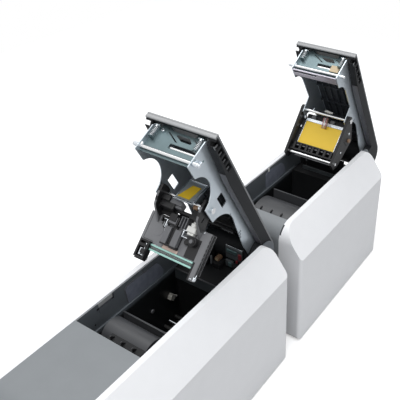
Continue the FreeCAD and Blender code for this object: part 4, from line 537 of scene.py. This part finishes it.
piece("rear_red_part", PRINTER, "dark_red", "base",
      boxes=[(33.0, 38.4, 229.0, 231.4, 11.0, 21.0), (29.0, 32.0, 228.0, 231.0, 24.0, 29.0)],
      soft=0.6)
piece("rear_wedges", PRINTER, "bay_black", "base",
      boxes=[(-6.0, 8.0, 216.0, 232.0, 33.0, 43.4), (-38.0, -16.0, 214.0, 234.0, 20.0, 43.4),
             (26.0, 38.0, 222.0, 231.0, 30.0, 43.4)], soft=1.0)
piece("rear_bulkhead_front", PRINTER, "bulkhead_grey", "base",
      boxes=[(-53.0, 53.0, 182.6, 183.9, 43.6, 62.0)], soft=0.4)
piece("rear_bulkhead_edge", PRINTER, "drum_grey", "base",
      boxes=[(-53.0, 53.0, 181.8, 184.6, 42.4, 43.8)], soft=0.4)

# Printer bay: patch and tab on the left wall, fins of the drum cover with painted highlights along
# their tops, a strip of painted shade before the drum, latch plate, floor
LEFT_WALL = -56.4
DRUM_FINS = (-13.8, 5.2, 24.4)
FIN = [(14.8, 19.6), (16.4, 19.6), (21.6, 25.0), (21.6, 26.6), (14.8, 26.6)]
FIN_HIGHLIGHT = [(14.9, 18.9), (16.6, 18.9), (18.2, 20.8), (17.6, 21.4), (14.9, 20.0)]
piece("wall_patch", PRINTER, "patch_blue", "base",
      prisms=[([(88.0, 41.6), (86.0, 15.0), (91.0, 11.0), (150.0, 12.0), (157.0, 20.0),
                (163.0, 34.0), (160.0, 41.6)], LEFT_WALL, -55.9)], soft=0.2)
piece("wall_patch_frame", PRINTER, "channel_grey", "base",
      prisms=[([(86.6, 41.6), (84.6, 14.6), (90.4, 9.6), (151.0, 10.6), (152.0, 12.0), (91.0, 11.2),
                (86.2, 15.2), (88.2, 41.6)], LEFT_WALL, -55.7)], soft=0.15)
piece("wall_tab", PRINTER, "channel_grey", "base",
      prisms=[([(121.0, 4.0), (123.4, 12.4), (129.6, 12.4), (131.4, 4.6), (130.0, 4.6),
                (128.6, 11.0), (124.6, 11.0), (122.6, 4.0)], LEFT_WALL, -55.6)], soft=0.15)
piece("drum_fins", PRINTER, "rail_black", "base",
      prisms=[(FIN, x - 0.7, x + 0.7) for x in DRUM_FINS], soft=0.2)
# Painted highlights: light grey strips along the tops of the fins, standing a little above them
piece("drum_fin_highlights", PRINTER, "clamp_grey", "base",
      prisms=[(FIN_HIGHLIGHT, x - 0.9, x - 0.5) for x in DRUM_FINS], soft=0.1)
# A black strip of painted shade on the ledge in front of the drum
piece("drum_front_shade_strip", PRINTER, "bay_black", "base",
      boxes=[(-21.0, 36.9, 14.8, 25.0, 25.8, 27.2)])
piece("latch_plate", PRINTER, "moulding_grey", "base",
      boxes=[(-57.5, -55.7, 37.6, 63.0, 2.4, 9.6)], soft=0.5)
piece("latch_plate_lug", PRINTER, "frame_dark", "base",
      boxes=[(-56.6, -55.7, 63.4, 66.4, 4.0, 10.0)], soft=0.5)
piece("latch_plate_slot", PRINTER, "bay_black", "base",
      boxes=[(-56.5, -55.8, 34.0, 65.0, 10.2, 12.6)])
piece("drum_end_hole", PRINTER, "bay_black", "base",
      bars=[((LEFT_WALL, 27.0, 33.0), (-56.0, 27.0, 33.0), 1.2)])
piece("drum_end_pin", PRINTER, "zinc", "base",
      bars=[((-50.0, 12.0, 24.0), (-48.0, 12.0, 24.0), 0.9)])
piece("bay_floor", PRINTER, "bay_black", "base",
      boxes=[(-52.8, 52.8, 76.0, 183.0, 147.0, 149.0)])
piece("bay_floor_dots", PRINTER, "connector_white", "base",
      bars=[((-53.4, 179.2, 97.1), (-51.6, 179.2, 97.1), 1.5)])
piece("bay_floor_screw", PRINTER, "clamp_grey", "base",
      bars=[((-53.4, 126.3, 87.6), (-51.2, 126.3, 87.6), 3.4)], soft=0.8)
piece("bay_floor_bar", PRINTER, "zinc", "base",
      boxes=[(12.0, 40.2, 95.0, 96.2, 44.0, 45.2)], soft=0.3)

# Laminator bay: wall patch and tab, fins of the drum cover, floor, rear wall and its ledges
LAMINATOR_FIN = [(40.0, 31.0), (46.6, 30.4), (50.0, 38.6), (48.0, 41.6), (42.0, 46.6)]
piece("laminator_wall_patch", LAMINATOR, "patch_blue", "base",
      prisms=[([(107.6, 36.0), (107.6, 12.0), (114.0, 8.0), (160.0, 12.0), (169.0, 20.0),
                (175.0, 38.0), (140.0, 41.6), (110.0, 41.6)], LEFT_WALL, -55.9)], soft=0.2)
piece("laminator_drum_fins", LAMINATOR, "rail_black", "base",
      prisms=[(LAMINATOR_FIN, x - 0.7, x + 0.7) for x in (-23.0, -2.6, 17.4)], soft=0.2)
piece("laminator_wall_tab", LAMINATOR, "connector_white", "base",
      boxes=[(-56.8, -55.7, 116.0, 120.0, 2.6, 10.0)], soft=0.4)
piece("laminator_bay_floor", LAMINATOR, "bay_black", "base",
      boxes=[(-52.8, 52.8, 108.0, 209.0, 153.0, 155.0)])
piece("laminator_bay_dots", LAMINATOR, "clamp_grey", "base",
      bars=[((-53.4, 196.7, 92.4), (-51.8, 196.7, 92.4), 1.6),
            ((-14.5, 206.6, 67.8), (-14.5, 208.2, 67.8), 1.8),
            ((-29.2, 207.2, 57.6), (-29.2, 208.2, 57.6), 1.8)], soft=0.3)
piece("laminator_bay_ledges", LAMINATOR, "drum_grey", "base",
      boxes=[(-52.6, 52.6, 206.0, 209.0, 44.6, 47.0), (-52.6, 52.6, 208.0, 210.0, 47.0, 80.0),
             (-44.0, 44.0, 204.0, 206.4, 43.6, 44.6)], soft=0.5)
piece("laminator_rear_step", LAMINATOR, "bulkhead_grey", "base",
      boxes=[(-39.6, 30.0, 210.0, 212.0, 36.0, 46.0)], soft=0.4)
piece("laminator_bay_back", LAMINATOR, "bay_black", "base",
      boxes=[(-39.0, 39.0, 226.0, 228.0, 12.6, 47.0), (-53.0, -42.8, 226.0, 228.0, 22.0, 47.0),
             (42.8, 53.0, 226.0, 228.0, 22.0, 47.0), (-39.0, 39.0, 268.0, 292.0, 60.0, 100.4)])
piece("laminator_bay_back_edge", LAMINATOR, "drum_grey", "base",
      boxes=[(-53.0, -43.8, 225.0, 228.4, 21.0, 22.6), (43.8, 53.0, 225.0, 228.4, 21.0, 22.6)],
      soft=0.4)

# Heater unit of the laminator
HEATER_RIB_STEP = 12.4
LEADS = ((-2.5, 0.0, "wire_pink"), (0.5, 1.4, "connector_white"), (3.5, 0.6, "wire_pink"),
         (6.5, 2.0, "brown"))
piece("heater_top_strip", HEATER, "zinc", "heater_unit",
      boxes=[(-37.5, 37.5, -4.6, 1.2, 0.2, 1.4)], soft=0.3)
piece("heater_edge_strips", HEATER, "zinc", "heater_unit",
      boxes=[(-37.4, -36.2, 1.2, 44.4, 0.2, 1.1), (36.2, 37.4, 1.2, 44.4, 0.2, 1.1)], soft=0.2)
piece("heater_arm_tabs", HEATER, "zinc", "heater_unit",
      boxes=[(-42.6, -39.0, -6.0, -1.0, 1.0, 6.0), (-42.4, -40.0, 12.0, 17.0, 1.0, 5.0),
             (38.6, 42.4, -4.0, 1.0, 1.0, 6.0), (39.0, 41.4, 18.0, 24.0, 1.0, 5.0)], soft=0.5)
piece("heater_ribs", HEATER, "heater_black", "heater_unit",
      boxes=[(-40.0 + HEATER_RIB_STEP * i, -35.6 + HEATER_RIB_STEP * i, 46.0, 60.0, -2.0, 6.0)
             for i in range(7)] +
      [(-43.0, 43.0, 44.6, 47.4, -2.0, 4.0), (-43.0, 43.0, 57.6, 60.6, -2.0, 6.6),
       (-41.0, 41.0, -14.0, -4.6, -8.0, -4.0), (-43.4, 43.4, -16.0, 0.0, -10.0, -8.0)], soft=0.6)
piece("heater_sockets", HEATER, "clamp_grey", "heater_unit",
      boxes=[(-30.0, -22.0, -12.0, -6.0, -4.0, 1.0), (8.0, 16.0, -12.0, -6.0, -4.0, 0.0)] +
      [(-34.6 + HEATER_RIB_STEP * i, -29.6 + HEATER_RIB_STEP * i, 49.0, 51.0, 0.5, 3.4)
       for i in range(6)], soft=0.4)
piece("heater_low_bar", HEATER, "clamp_grey", "heater_unit",
      boxes=[(-31.5, 42.0, 67.4, 68.8, -2.0, 1.0)], soft=0.4)
piece("heater_cheek_screws", HEATER, "zinc", "heater_unit",
      bars=[((48.4, 2.0, -4.0), (49.6, 2.0, -4.0), 2.4),
            ((48.4, 40.0, -3.0), (49.2, 40.0, -3.0), 1.8)],
      soft=0.3)
piece("heater_brown_boss", HEATER, "brown", "heater_unit",
      bars=[((48.4, 12.0, -12.0), (52.0, 12.0, -12.0), 3.6)], soft=0.5)
piece("heater_cheek_slot", HEATER, "bay_black", "heater_unit",
      boxes=[(48.45, 48.9, 20.0, 22.4, -14.0, 2.0)])
piece("heater_feet", HEATER, "zinc", "heater_unit",
      boxes=[(-48.0, -45.0, 66.0, 72.5, 2.0, 5.0), (45.0, 48.0, 66.0, 72.5, 2.0, 5.0)], soft=0.6)
piece("heater_wiring_bundle", LAMINATOR_LID, "cable_white", "laminator_lid",
      bars=[((-4.0, 117.0, 46.0), (6.0, 120.0, 46.5), 2.0),
            ((0.0, 121.0, 44.0), (9.0, 118.0, 47.0), 1.6),
            ((-8.0, 120.0, 45.0), (2.0, 124.0, 45.0), 1.7)], soft=0.4)

for index, (x, lift, finish) in enumerate(LEADS):
    wire("heater_lead_%d" % index,
         [HEATER(x, 7.0, 1.6), HEATER(x + 1.0, 6.0, 5.0 + lift), HEATER(x + 2.0, -1.0, 9.0 + lift),
          HEATER(x, -8.0, 8.0 + lift), HEATER(x - 2.0, -13.0, 3.0)], 0.85, finish, "heater_unit")

# Laminator lid: tab and bracket of the cross plate, floor and ends of the latch bar
piece("tan_tab", LAMINATOR_LID, "tan", "laminator_lid",
      prisms=[([(10.4, 24.0), (11.6, 24.0), (11.6, 37.0), (10.4, 37.0)], 20.0, 36.0)], soft=0.3)
piece("latch_floor", LAMINATOR_LID, "plum_metal", "laminator_lid",
      boxes=[(-40.4, 40.4, 14.0, 21.4, 51.4, 52.6), (4.0, 40.4, 7.0, 14.0, 51.4, 52.6),
             (-40.4, 40.4, 7.0, 8.4, 50.0, 52.6)], soft=0.3)
piece("laminator_latch_end", LAMINATOR_LID, "zinc", "laminator_latch",
      bars=[((43.0, 9.0, 43.0), (51.0, 9.0, 43.0), 2.9),
            ((-50.5, 9.0, 43.0), (-43.0, 9.0, 43.0), 2.9)],
      soft=0.4)
piece("laminator_lid_plate_bracket", LAMINATOR_LID, "teal_steel", "laminator_lid",
      boxes=[(-39.5, -26.0, 13.6, 22.0, 11.0, 12.2), (-37.0, -35.8, 13.6, 24.0, 12.0, 26.0)],
      soft=0.4)

# Floor, backdrop and light
FLOOR_HALF = 1.5
FLOOR_GLOW = 0.42
FLOOR_BOUNCE = 0.62
ROOM_LIGHT = 0.42


def show_by_ray(tree, switch, otherwise, shown, output):
    """Gives the rays of a switch one shader and all others another."""
    choice = add_node(tree, "MixShader")
    tree.links.new(switch, choice.inputs["Fac"])
    tree.links.new(otherwise, choice.inputs[1])
    tree.links.new(shown, choice.inputs[2])
    tree.links.new(choice.outputs["Shader"], output.inputs["Surface"])


floor_bm = bmesh.new()
bmesh.ops.create_grid(floor_bm, x_segments=1, y_segments=1, size=FLOOR_HALF)
floor_mesh = bpy.data.meshes.new("floor")
floor_bm.to_mesh(floor_mesh)
floor_bm.free()
material("floor_white", (0.90, 0.90, 0.90), 0.9, mottle=0.002, spec=0.0)
floor_mesh.materials.append(MAT["floor_white"])
floor = bpy.data.objects.new("floor", floor_mesh)
bpy.context.scene.collection.objects.link(floor)

floor_tree = MAT["floor_white"].node_tree
floor_seen = floor_tree.nodes["Principled BSDF"]
floor_seen.inputs["Emission Color"].default_value = (1, 1, 1, 1)
floor_seen.inputs["Emission Strength"].default_value = FLOOR_GLOW
floor_lit = add_node(floor_tree, "BsdfDiffuse", Color=(FLOOR_BOUNCE,) * 3 + (1,))
floor_path = add_node(floor_tree, "LightPath")
show_by_ray(floor_tree, floor_path.outputs["Is Camera Ray"], floor_lit.outputs["BSDF"],
            floor_seen.outputs["BSDF"], floor_tree.nodes["Material Output"])

world = bpy.data.worlds.new("studio")
bpy.context.scene.world = world
world.use_nodes = True
world_tree = world.node_tree
world_tree.nodes.clear()
backdrop = add_node(world_tree, "Background", Color=(1, 1, 1, 1), Strength=1.0)
room = add_node(world_tree, "Background", Color=(0.93, 0.96, 1.0, 1), Strength=ROOM_LIGHT)
path = add_node(world_tree, "LightPath")
backdrop_rays = path.outputs["Is Camera Ray"]
for kind in ("Is Glossy Ray", "Is Transmission Ray"):
    either = add_node(world_tree, "Math", "MAXIMUM")
    world_tree.links.new(backdrop_rays, either.inputs[0])
    world_tree.links.new(path.outputs[kind], either.inputs[1])
    backdrop_rays = either.outputs["Value"]
show_by_ray(world_tree, backdrop_rays, room.outputs["Background"],
            backdrop.outputs["Background"], add_node(world_tree, "OutputWorld"))


def lamp(name, place, target, size, power):
    """Area lamp in metres and watts, turned toward a target."""
    data = bpy.data.lights.new(name, "AREA")
    data.shape = "RECTANGLE"
    data.size, data.size_y = size
    data.energy = power
    obj = bpy.data.objects.new(name, data)
    obj.location = place
    obj.rotation_mode = "QUATERNION"
    obj.rotation_quaternion = (Vector(place) - Vector(target)).to_track_quat("Z", "Y")
    bpy.context.scene.collection.objects.link(obj)


lamp("key", (0.30, -0.8, 2.0), (0, 0, 0.15), (1.2, 1.2), 19)
lamp("top", (-0.2, 0.2, 2.2), (0, 0, 0.2), (1.6, 1.6), 24)
lamp("side", (2.0, 0.3, 0.7), (0, 0, 0.2), (1.2, 1.0), 5)

# Camera, worked out from the long edges of the white covers; lengths in points of the picture
PICTURE = 400
SENSOR = 36
FOCAL_LENGTH = 605.518
SHIFT_X, SHIFT_Y = -70.905, 0.141
LOOKS_DOWN = 34.117
TURNED = 33.017

camera = bpy.data.objects.new("camera", bpy.data.cameras.new("camera"))
bpy.context.scene.collection.objects.link(camera)
bpy.context.scene.camera = camera
camera.data.sensor_width = SENSOR
camera.data.lens = FOCAL_LENGTH / PICTURE * SENSOR
camera.data.shift_x = SHIFT_X / PICTURE
camera.data.shift_y = SHIFT_Y / PICTURE
camera.data.clip_start = 0.05
camera.data.clip_end = 30
camera.location = PRINTER(453.363, -327.651, -557.988)
camera.rotation_euler = (math.radians(90 - LOOKS_DOWN), 0, math.radians(TURNED))
bpy.context.scene.view_settings.view_transform = "Standard"
